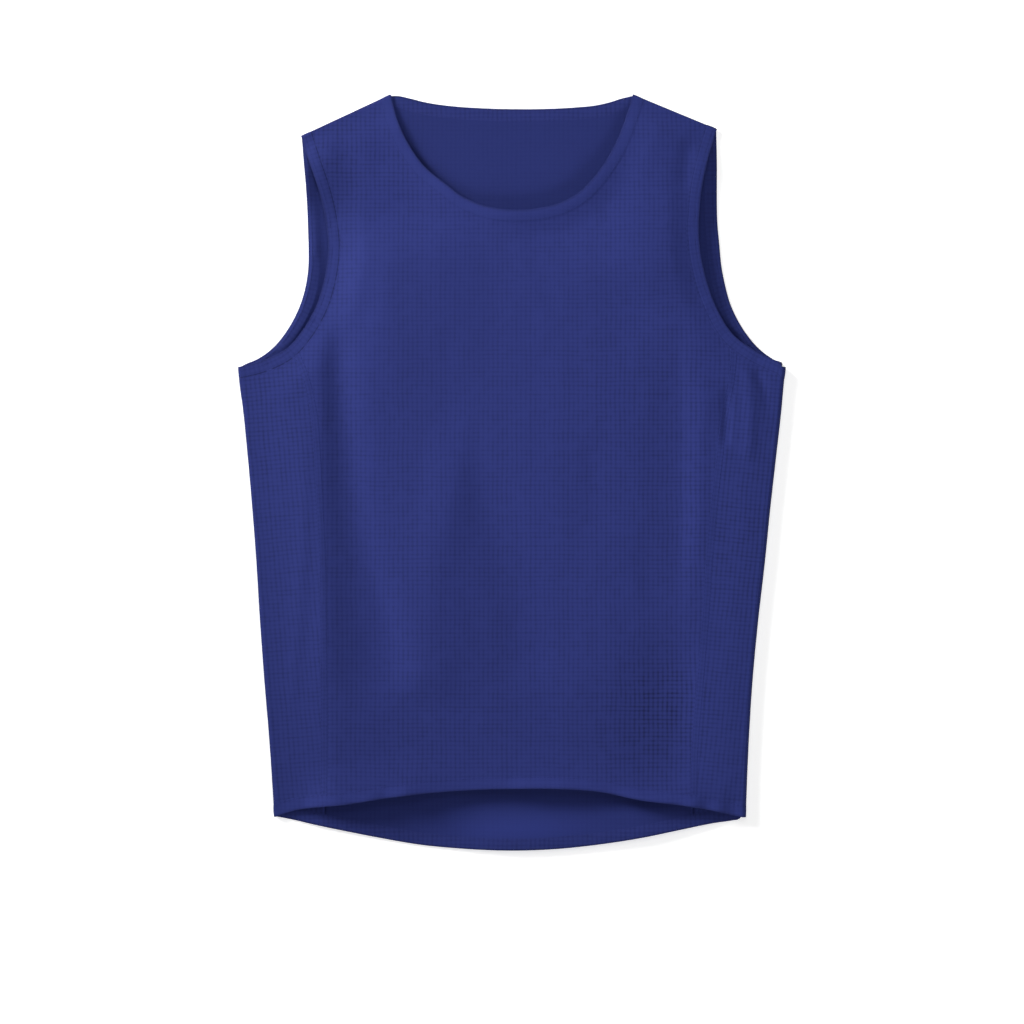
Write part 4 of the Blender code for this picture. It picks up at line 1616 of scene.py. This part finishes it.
@dataclass
class Trim:
    """A turned edge: one closed band that passes round the folds of the garment.

    Args:
        drape: the garment's drape.
        step: distance between stations.
        fold_steps: stations round a fold.
        rim: depth of the turned edge that gets painted shade.
        edge_start: depth at which the knit starts to open towards the panel.
        edge_run: distance over which it does.
        ripple_lengths: shortest and longest ripple.
        ripple_count: how many ripples are added up.
        seed: seed of the ripples.
    """

    drape: Drape
    step: float = 2.0
    fold_steps: int = 9
    rim: float = 1.0
    edge_start: float = 6.0
    edge_run: float = 3.6
    ripple_lengths: tuple[float, float] = (4.0, 34.0)
    ripple_count: int = 7
    seed: int = 3

    def turns(self, side: Side = Side.RIGHT) -> np.ndarray:
        """Angles round a fold, without its ends: downwards on the right, upwards on the left."""
        down = np.linspace(90.0, -90.0, self.fold_steps + 1)[1:-1]
        return down if side is Side.RIGHT else down[::-1]

    def ring(self, edges: dict[Layer, Edge], far: Ring, near: Ring) -> Ring:
        """A whole ring.

        Args:
            edges: the free edge in each layer.
            far: stations round the fold where the edges end.
            near: stations round the fold where they start.

        Returns:
            The stations: out along the front, round a fold, back along the back, round a fold.
        """
        reach = {
            layer: np.linspace(0.0, edge.length, round(edge.length / self.step) + 1)
            for layer, edge in edges.items()
        }
        front = Ring.along(edges[Layer.FRONT], Layer.FRONT, reach[Layer.FRONT])
        back = Ring.along(edges[Layer.BACK], Layer.BACK, reach[Layer.BACK][::-1])
        return Ring.joined([front, far, back, near])

    def armhole(self, side: Side) -> Ring:
        """Ring of an armhole: up the front, round the shoulder, down the back, round the side."""
        cut = self.drape.pattern
        tip, neck, outward = cut.shoulder[side]
        down = cut.below_arm(side)
        aside = quarter_turn(down, side.inward)
        up = self.turns()[::-1]
        far = Ring.round_fold(tip, neck - tip, outward, cut.shoulder_gap, self.turns())
        near = Ring.round_fold(cut.underarm[side], down, aside, cut.side_gap[side], up)
        return self.ring({layer: cut.arm[side, layer] for layer in Layer}, far, near)

    def neck(self) -> Ring:
        """Ring of the neck: along the front scoop and back along the back neck."""
        cut = self.drape.pattern
        folds = []
        for side in (Side.RIGHT, Side.LEFT):
            tip, neck, outward = cut.shoulder[side]
            turns = self.turns(side)
            folds.append(Ring.round_fold(neck, tip - neck, outward, cut.shoulder_gap, turns))
        return self.ring(cut.neck, *folds)

    def hem(self) -> Ring:
        """Ring of the hem: along the front hem and back along the longer back hem."""
        cut = self.drape.pattern
        folds = []
        for side in (Side.RIGHT, Side.LEFT):
            up, corner = cut.above_hem(side), cut.hem_corner[side]
            aside = quarter_turn(up, -side.inward)
            folds.append(Ring.round_fold(corner, up, aside, cut.side_gap[side], self.turns(side)))
        return self.ring(cut.hem, *folds)

    def ripple(self, distance: np.ndarray) -> np.ndarray:
        """Uneven ripples along the trim, between -1 and 1."""
        dice = np.random.default_rng(self.seed)
        total = np.zeros_like(distance)
        for length in dice.uniform(*self.ripple_lengths, self.ripple_count):
            total += np.sin(distance * 2.0 * math.pi / length + dice.uniform(0.0, 2.0 * math.pi))
        return total * 2.0 / self.ripple_count

    def spread(self, ring: Ring, style: TrimStyle) -> tuple[Spots, np.ndarray, np.ndarray]:
        """Places and levels of the whole section at every station.

        Args:
            ring: the stations.
            style: how the trim looks.

        Returns:
            The places, their levels, and coordinates along and across the trim in metres.
        """
        count, size = len(ring.width), len(TRIM_SECTION)
        depth, level = np.array(TRIM_SECTION).T
        level[GROOVE_POINT] -= style.groove
        offset = (ring.width[:, None, :] * depth[None, :, None]).reshape(-1, 2)
        spots = ring.spots.repeated(size).moved(offset)
        cut = self.drape.pattern
        middle = ring.spots.plan + ring.width * cut.band / 2
        middle = np.column_stack((middle, ring.spots.turn * cut.wall))
        steps = np.linalg.norm(np.diff(middle, axis=0), axis=1)
        reach = np.concatenate(([0.0], np.cumsum(steps)))
        swell = np.sin(np.clip(depth / cut.band, 0.0, 1.0) * math.pi)
        rise = style.pucker * self.ripple(reach)[:, None] * swell[None, :]
        uv = np.column_stack((np.repeat(reach, size), np.tile(depth, count))) * MM
        return spots, (level[None, :] + rise).ravel(), uv

    def build(self, name: str, ring: Ring, style: TrimStyle) -> tuple[bpy.types.Object, float]:
        """Builds a trim.

        Args:
            name: the piece's name.
            ring: its stations.
            style: how it looks.

        Returns:
            The object and the trim's length in metres.
        """
        spots, level, uv = self.spread(ring, style)
        points = self.drape.points(spots, level, self.drape.heights(spots))
        count, size = len(ring.width), len(TRIM_SECTION)
        index = np.arange(len(points)).reshape(count, size)
        laid = spots.plan * MM if style.straight_knit else uv
        piece = solid_mesh(name, points, lattice(index, wrap=True), laid)
        depth = np.array([point.depth for point in TRIM_SECTION])
        outside = np.arange(size) < OUTSIDE_POINTS
        edge = style.outside + (style.edge - style.outside) * ease(
            (depth - self.edge_start) / self.edge_run
        )
        openness = np.where(outside, edge, style.inside)
        # Painted shade on the inside faces, which show on the back layer under the front.
        tone = np.where(outside, style.tone, style.inside_shade)
        # Painted shade: a dark line in the stitch groove.
        tone[GROOVE_POINT] *= style.groove_shade
        # Painted shade at the turned edge.
        tone *= np.where(depth < self.rim, style.rim_shade, 1.0)
        mark_knit(piece, np.tile(openness, count), np.tile(tone, count) * spots.painted_fold_shade())
        return piece, float(uv[-1, 0])

    def line(self, ring: Ring, depth: float, level: float) -> np.ndarray:
        """Points of a line round a trim at one depth and level, in metres."""
        spots = ring.spots.moved(ring.width * depth)
        return self.drape.points(spots, level, self.drape.heights(spots))


class Face(Enum):
    """The face of the cloth that a seam or a stitch lies on."""

    OUTSIDE = 1
    INSIDE = -1


@dataclass
class FlatlockSeam:
    """A flat seam that covers the butted edges of two panels.

    Args:
        drape: the garment's drape.
        half_width: half the seam's width.
        step: distance between its cross sections.
        overlap: how far it runs under the trims at its ends.
        thread_aside: distance of each row of stitches from the middle.
        openness: openness of its knit.
        tone: factor of its colour.
    """

    drape: Drape
    half_width: float = 3.25
    step: float = 1.6
    overlap: float = 1.5
    thread_aside: float = 2.1
    openness: float = 0.75
    tone: float = 0.98

    SECTION = table(  # half widths from the middle, and levels
        SectionPoint,
        (-1, 0.74), (-0.85, 0.8), (-0.6, 0.83), (-0.25, 0.84), (0, 0.83), (0.25, 0.84),
        (0.6, 0.83), (0.85, 0.8), (1, 0.74), (0.6, 0.6), (-0.6, 0.6),
    )
    THREAD_LEVEL = {Face.OUTSIDE: 0.84, Face.INSIDE: 0.10}

    def path(self, side: Side, layer: Layer) -> np.ndarray:
        """Plan points of a side seam from the hem to the armhole trim."""
        cut = self.drape.pattern
        depth = cut.band - self.overlap
        hem, arm = cut.hem[layer], cut.arm[side, layer]
        low = cut.seam_distance(hem, side, depth, from_end=side is Side.RIGHT)
        high = cut.seam_distance(arm, side, depth)
        bottom, top = hem.inner(low, depth)[0, 1], arm.inner(high, depth)[0, 1]
        levels = np.linspace(bottom, top, round((top - bottom) / self.step))
        return cut.side_seam[side].point(levels)

    def strip(self, side: Side, layer: Layer, offset: np.ndarray) -> Spots:
        """Places at offsets across the seam, for each station along it."""
        path = self.path(side, layer)
        across = quarter_turn(unit(np.gradient(path, axis=0)), 1.0)
        return Spots.flat(path[:, None, :] + across[:, None, :] * offset[None, :, None], layer)

    def build(self, name: str, side: Side, layer: Layer, face: Face) -> bpy.types.Object:
        """Builds one seam.

        Args:
            name: the piece's name.
            side: side of the garment.
            layer: layer that it is sewn in.
            face: face of the cloth that it stands on.

        Returns:
            The object.
        """
        size = len(self.SECTION)
        aside, level = np.array(self.SECTION).T
        offset = aside * self.half_width
        spots = self.strip(side, layer, offset)
        count = len(spots.plan) // size
        level = np.tile(level if face is Face.OUTSIDE else 1.0 - level, count)
        points = self.drape.points(spots, level, self.drape.heights(spots))
        index = np.arange(len(points)).reshape(count, size)
        body = lattice(np.hstack((index, index[:, :1])))
        caps = [
            (row[k], row[k + 1], row[size - 2 - k], row[size - 1 - k])
            for row in (index[0], index[-1][::-1])
            for k in range(size // 2 - 1)
        ]
        reach = np.repeat(np.arange(count) * self.step, size)
        uv = np.column_stack((np.tile(offset, count), reach)) * MM
        piece = solid_mesh(name, points, np.vstack((body, np.array(caps))), uv)
        mark_knit(piece, self.openness, self.tone)
        return piece

    def lines(self, side: Side, layer: Layer, face: Face) -> list[np.ndarray]:
        """Points of the two lines of stitches on one face of a seam, in metres."""
        made = []
        for aside in (-self.thread_aside, self.thread_aside):
            spots = self.strip(side, layer, np.array([aside]))
            level = self.THREAD_LEVEL[face]
            made.append(self.drape.points(spots, level, self.drape.heights(spots)))
        return made


@dataclass
class ShoulderSeam:
    """The seam along a shoulder fold, which closes the front onto the back.

    Args:
        drape: the garment's drape.
        levels: levels of its outside and its inside in the solids' wall.
        steps: cross sections along it.
        overlap: how far it runs under the trims at its ends.
        openness: openness of its knit.
        turns: angles round the fold that it covers.
    """

    drape: Drape
    levels: tuple[float, float] = (0.86, 0.61)
    steps: int = 34
    overlap: float = 1.5
    openness: float = 0.6
    turns: tuple[float, ...] = (58.0, 40.0, 22.0, 4.0, -14.0, -32.0, -50.0)

    def build(self, name: str, side: Side) -> bpy.types.Object:
        """Builds the seam of one shoulder."""
        cut = self.drape.pattern
        tip, neck, outward = cut.shoulder[side]
        inset = unit(neck - tip) * (cut.band - self.overlap)
        start, end = tip + inset, neck - inset
        share = np.linspace(0.0, 1.0, self.steps)
        axis = start + (end - start) * share[:, None]
        angles = np.radians(self.turns)
        spots = Spots.joined([Spots.folded(axis, outward, a, cut.shoulder_gap) for a in angles])
        index = np.arange(len(spots.plan)).reshape(len(angles), self.steps)
        reach = np.tile(share * np.linalg.norm(end - start), len(angles))
        around = np.repeat(angles * cut.shoulder_radius, self.steps)
        uv = np.column_stack((reach, around)) * MM
        piece = self.drape.shell(name, spots, self.levels, lattice(index), uv)
        # Painted shade where the seam turns round the shoulder fold.
        mark_knit(piece, self.openness, np.tile(spots.painted_fold_shade(), 2))
        return piece


# --- stitches


@dataclass
class StitchRows:
    """Rows of stitches laid along lines by Geometry Nodes.

    Args:
        thread: the thread's material.
        pitch: distance from one stitch to the next, in metres.
        length: length of one stitch, in metres.
        thickness: thickness of the thread, in metres.
        unevenness: spread of the stitches' lengths.
        seed: seed of that spread.
        tree: the node tree, made when it is first needed.
    """

    thread: bpy.types.Material
    pitch: float = 0.0026
    length: float = 0.0021
    thickness: float = 0.00026
    unevenness: float = 0.18
    seed: int = 5
    tree: bpy.types.NodeTree | None = None

    def make_tree(self) -> bpy.types.NodeTree:
        """Builds the tree: a thin rounded stitch at every pitch along each line."""
        tree = bpy.data.node_groups.new("stitch_row", "GeometryNodeTree")
        kinds = {
            "Lines": "Geometry", "Pitch": "Float", "Length": "Float", "Thickness": "Float",
            "Unevenness": "Float", "Seed": "Int", "Thread": "Material",
        }
        for name, kind in kinds.items():
            tree.interface.new_socket(name, in_out="INPUT", socket_type=f"NodeSocket{kind}")
        tree.interface.new_socket("Stitches", in_out="OUTPUT", socket_type="NodeSocketGeometry")
        sheet = NodeSheet(tree)
        given = sheet.add("NodeGroupInput").outputs
        result = sheet.add("NodeGroupOutput")
        curve = sheet.add("GeometryNodeMeshToCurve", {"Mesh": given["Lines"]}).outputs["Curve"]
        spacing = {"Curve": curve, "Length": given["Pitch"]}
        even = sheet.add("GeometryNodeResampleCurve", spacing, mode="LENGTH").outputs["Curve"]
        ball = {"Segments": 6, "Rings": 5, "Radius": 0.5}
        ball = sheet.add("GeometryNodeMeshUVSphere", ball).outputs["Mesh"]
        smooth = sheet.add("GeometryNodeSetShadeSmooth", {"Geometry": ball}).outputs["Geometry"]
        along = {"Vector": sheet.add("GeometryNodeInputTangent").outputs["Tangent"]}
        align = sheet.add("FunctionNodeAlignRotationToVector", along, axis="X")
        least, most = (sheet.math(o, 1.0, given["Unevenness"]) for o in ("SUBTRACT", "ADD"))
        spread = {2: least, 3: most, "Seed": given["Seed"]}
        chance = sheet.add("FunctionNodeRandomValue", spread, data_type="FLOAT").outputs[1]
        length = sheet.math("MULTIPLY", given["Length"], chance)
        sizes = {"X": length, "Y": given["Thickness"], "Z": given["Thickness"]}
        size = sheet.add("ShaderNodeCombineXYZ", sizes).outputs["Vector"]
        laying = {
            "Points": even, "Instance": smooth, "Rotation": align.outputs["Rotation"], "Scale": size
        }
        laid = sheet.add("GeometryNodeInstanceOnPoints", laying).outputs["Instances"]
        real = sheet.add("GeometryNodeRealizeInstances", {"Geometry": laid}).outputs["Geometry"]
        coat = {"Geometry": real, "Material": given["Thread"]}
        coat = sheet.add("GeometryNodeSetMaterial", coat).outputs["Geometry"]
        sheet.fill(result, {"Stitches": coat})
        return tree

    @staticmethod
    def lines_mesh(name: str, lines: Sequence[np.ndarray], closed: bool) -> bpy.types.Object:
        """An object of plain edges along the lines."""
        edges, start = [], 0
        for line in lines:
            count = len(line)
            edges += [(start + k, start + k + 1) for k in range(count - 1)]
            if closed:
                edges.append((start + count - 1, start))
            start += count
        mesh = bpy.data.meshes.new(name)
        mesh.from_pydata(np.vstack(lines).tolist(), edges, [])
        return placed(name, mesh)

    def build(self, name: str, lines: Sequence[np.ndarray], closed: bool) -> bpy.types.Object:
        """Lays stitches along lines and makes them a plain mesh.

        Args:
            name: the piece's name.
            lines: points of each line, in metres.
            closed: whether each line is a loop.

        Returns:
            The object.
        """
        self.tree = self.tree or self.make_tree()
        rest = (-math.inf, -math.inf, self.thickness / 2)
        made = self.lines_mesh(name, [np.maximum(line, rest) for line in lines], closed)
        rows = made.modifiers.new("stitches", "NODES")
        rows.node_group = self.tree
        values = {
            "Pitch": self.pitch,
            "Length": self.length,
            "Thickness": self.thickness,
            "Unevenness": self.unevenness,
            "Seed": self.seed,
            "Thread": self.thread,
        }
        for item in self.tree.interface.items_tree:
            if item.in_out == "INPUT" and item.name in values:
                rows[item.identifier] = values[item.name]
        graph = bpy.context.evaluated_depsgraph_get()
        graph.update()
        plain = bpy.data.meshes.new_from_object(made.evaluated_get(graph), depsgraph=graph)
        made.modifiers.remove(rows)
        made.data = plain
        self.press(plain)
        return made

    @staticmethod
    def press(mesh: bpy.types.Mesh) -> None:
        """Flattens what would dip under the surface that the garment lies on."""
        points = np.empty(len(mesh.vertices) * 3)
        mesh.vertices.foreach_get("co", points)
        points[2::3] = np.maximum(points[2::3], 0.0)
        mesh.vertices.foreach_set("co", points)
        mesh.update()


# --- studio


class SoftBox(NamedTuple):
    """A square light that faces a place on the garment.

    Azimuth is the direction that it stands in, from +X towards +Y, elevation its angle above the
    floor and spread its beam's angle, all in degrees. Distance and size are in metres, power is in
    watts, and aim is the place in the plan, in metres.
    """

    name: str
    azimuth: float
    elevation: float
    distance: float
    size: float
    power: float
    spread: float
    aim: tuple[float, float]


SOFT_BOXES = table(
    SoftBox,
    ("key", 145, 17, 2.5, 1.1, 8, 30, (-0.09, 0.16)),
    ("fill", -68, 24, 3.2, 1.2, 3.3, 32, (-0.06, 0.22)),
    ("top", 90, 62, 1.4, 0.7, 0.45, 50, (-0.05, 0.12)),
)


@dataclass
class Studio:
    """White floor, soft light and the camera straight above.

    Args:
        floor_size: side of the floor.
        floor_drop: distance from the garment's rest plane to the floor.
        floor_glow: light that the floor gives of itself, as a light table does, by the garment
            and away from it.
        sky: strength of the even light from all round.
        lens: focal length in millimetres.
        sensor: sensor width in millimetres.
        frame_width: width of the rest plane that the picture shows.
        aim: plan point in the picture's middle.
        rise: what the camera stands above the distance that fits the picture.
        white: linear grey of the floor.
        glow_reach: distances from the origin between which the floor's own light grows.
    """

    floor_size: float = 16.0
    floor_drop: float = 0.0002
    floor_glow: tuple[float, float] = (0.45, 1.0)
    sky: float = 0.14
    lens: float = 85.0
    sensor: float = 36.0
    frame_width: float = 0.8176
    aim: tuple[float, float] = (0.00016, -0.0316)
    rise: float = 0.003
    white: float = 0.93
    glow_reach: tuple[float, float] = (0.38, 0.56)

    def floor(self) -> None:
        """A large white floor."""
        half = self.floor_size / 2
        corners = [(-half, -half), (half, -half), (half, half), (-half, half)]
        mesh = bpy.data.meshes.new("floor")
        mesh.from_pydata([(x, y, -self.floor_drop) for x, y in corners], [], [(0, 1, 2, 3)])
        made = placed("floor", mesh)
        paper, sheet, shader = new_material("white_paper")
        place = {0: sheet.add("ShaderNodeTexCoord").outputs["Object"]}
        away = sheet.add("ShaderNodeVectorMath", place, operation="LENGTH").outputs["Value"]
        glow = sheet.ramp(away, *self.glow_reach, *self.floor_glow)
        values = {
            "Base Color": (self.white, self.white, self.white, 1.0),
            "Roughness": 0.95,
            "Specular IOR Level": 0.0,
            "Emission Color": sheet.scaled((1.0, 1.0, 1.0), glow),
            "Emission Strength": 1.0,
        }
        sheet.fill(shader, values)
        mesh.materials.append(paper)
        made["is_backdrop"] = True

    def soft_box(self, box: SoftBox) -> None:
        """Places one light, facing its aim."""
        data = bpy.data.lights.new(box.name, "AREA")
        data.shape = "SQUARE"
        data.size = box.size
        data.energy = box.power
        data.spread = math.radians(box.spread)
        made = placed(box.name, data)
        turn, tilt = math.radians(box.azimuth), math.radians(box.elevation)
        flat = box.distance * math.cos(tilt)
        across, up = box.aim
        place = (across + flat * math.cos(turn), up + flat * math.sin(turn))
        made.location = (*place, box.distance * math.sin(tilt))
        made.rotation_euler = (0.0, math.pi / 2 - tilt, turn)

    def light(self) -> None:
        """The soft boxes and an even sky."""
        for box in SOFT_BOXES:
            self.soft_box(box)
        world = bpy.data.worlds.new("studio")
        world.use_nodes = True
        sky = world.node_tree.nodes["Background"]
        sky.inputs["Color"].default_value = (1.0, 1.0, 1.0, 1.0)
        sky.inputs["Strength"].default_value = self.sky
        bpy.context.scene.world = world

    def camera(self) -> None:
        """The camera looks straight down, with the neck at the top of the picture."""
        data = bpy.data.cameras.new("camera")
        data.lens = self.lens
        data.sensor_width = self.sensor
        made = placed("camera", data)
        made.location = (*self.aim, self.frame_width * self.lens / self.sensor + self.rise)
        bpy.context.scene.camera = made
        bpy.context.scene.view_settings.view_transform = "Standard"

    def build(self) -> None:
        """Sets the whole studio."""
        self.floor()
        self.light()
        self.camera()


# --- the garment


class BaseLayer:
    def __init__(self) -> None:
        self.pattern = Pattern()
        self.drape = Drape(self.pattern, Relief(self.pattern))
        self.wardrobe = Wardrobe()
        self.knit = self.wardrobe.knit

    def panels(self) -> None:
        """Front, back and side panels."""
        for layer, name, node, finish in (
            (Layer.BACK, "back_cloth", "back_panel", BACK_KNIT),
            (Layer.FRONT, "front_cloth", "front_panel", FRONT_KNIT),
        ):
            piece, area, flat = BodyPanel(drape=self.drape, layer=layer).build(name)
            dress(piece, finish.slot, [node], self.knit[finish.name])
        for side in Side:
            panel, name = SidePanel(drape=self.drape, side=side), f"side_cloth_{side.value}"
            piece, area, flat = panel.build(name)
            dress(piece, SIDE_KNIT.slot, [f"side_panel_{side.value}"], self.knit[SIDE_KNIT.name])

    def trims(self) -> None:
        """Armhole, neck and hem trims with their stitches."""
        trim = Trim(self.drape)
        stitches = StitchRows(self.wardrobe.thread)
        rings = {}
        for side in Side:
            node, style = f"armhole_binding_{side.value}", ARMHOLE_STYLES[side]
            rings[f"armhole_trim_{side.value}"] = (trim.armhole(side), node, TRIM_KNIT, style)
        rings["neck_trim"] = (trim.neck(), "neck_binding", TRIM_KNIT, NECK_STYLE)
        rings["hem_trim"] = (trim.hem(), "hem_band", HEM_KNIT, HEM_STYLE)
        for name, (ring, node, finish, style) in rings.items():
            piece, length = trim.build(name, ring, style)
            dress(piece, finish.slot, [node], self.knit[finish.name])
            lines = []
            for depth in style.stitch_depths:
                level = style.stitch_level(depth)
                lines += [trim.line(ring, depth, level), trim.line(ring, depth, 1.0 - level)]
            sewn = stitches.build(f"{name}_stitches", lines, closed=True)
            dress(sewn, finish.slot, [], self.wardrobe.thread)

    def seams(self) -> None:
        """Flatlock seams on both faces of the four side seams, and the two shoulder seams."""
        seam = FlatlockSeam(self.drape)
        stitches = StitchRows(self.wardrobe.thread, pitch=0.0024, length=0.0018)
        lines = []
        for side in Side:
            for layer in Layer:
                for face in Face:
                    name = f"seam_{layer.value}_{side.value}_{face.name.lower()}"
                    piece = seam.build(name, side, layer, face)
                    dress(piece, SIDE_KNIT.slot, [], self.knit[SIDE_KNIT.name])
                    lines += seam.lines(side, layer, face)
            piece = ShoulderSeam(self.drape).build(f"shoulder_seam_{side.value}", side)
            dress(piece, FRONT_KNIT.slot, [], self.knit[FRONT_KNIT.name])
        sewn = stitches.build("side_seam_stitches", lines, closed=False)
        dress(sewn, SIDE_KNIT.slot, [], self.wardrobe.thread)

    def build(self) -> None:
        """Builds every piece in order."""
        self.panels()
        self.trims()
        self.seams()


def write_sizes() -> None:
    """Works out the solids' box and the dressed garment's box."""
    boxes = {"cad": CAD_BOX, "visual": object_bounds()}
    plain = {name: [[float(v) for v in corner] for corner in box] for name, box in boxes.items()}


def main() -> None:
    """Builds the garment and the studio."""
    logging.basicConfig(level=logging.INFO, format="%(message)s")
    BaseLayer().build()
    Studio().build()
    write_sizes()


if __name__ == "__main__":
    main()
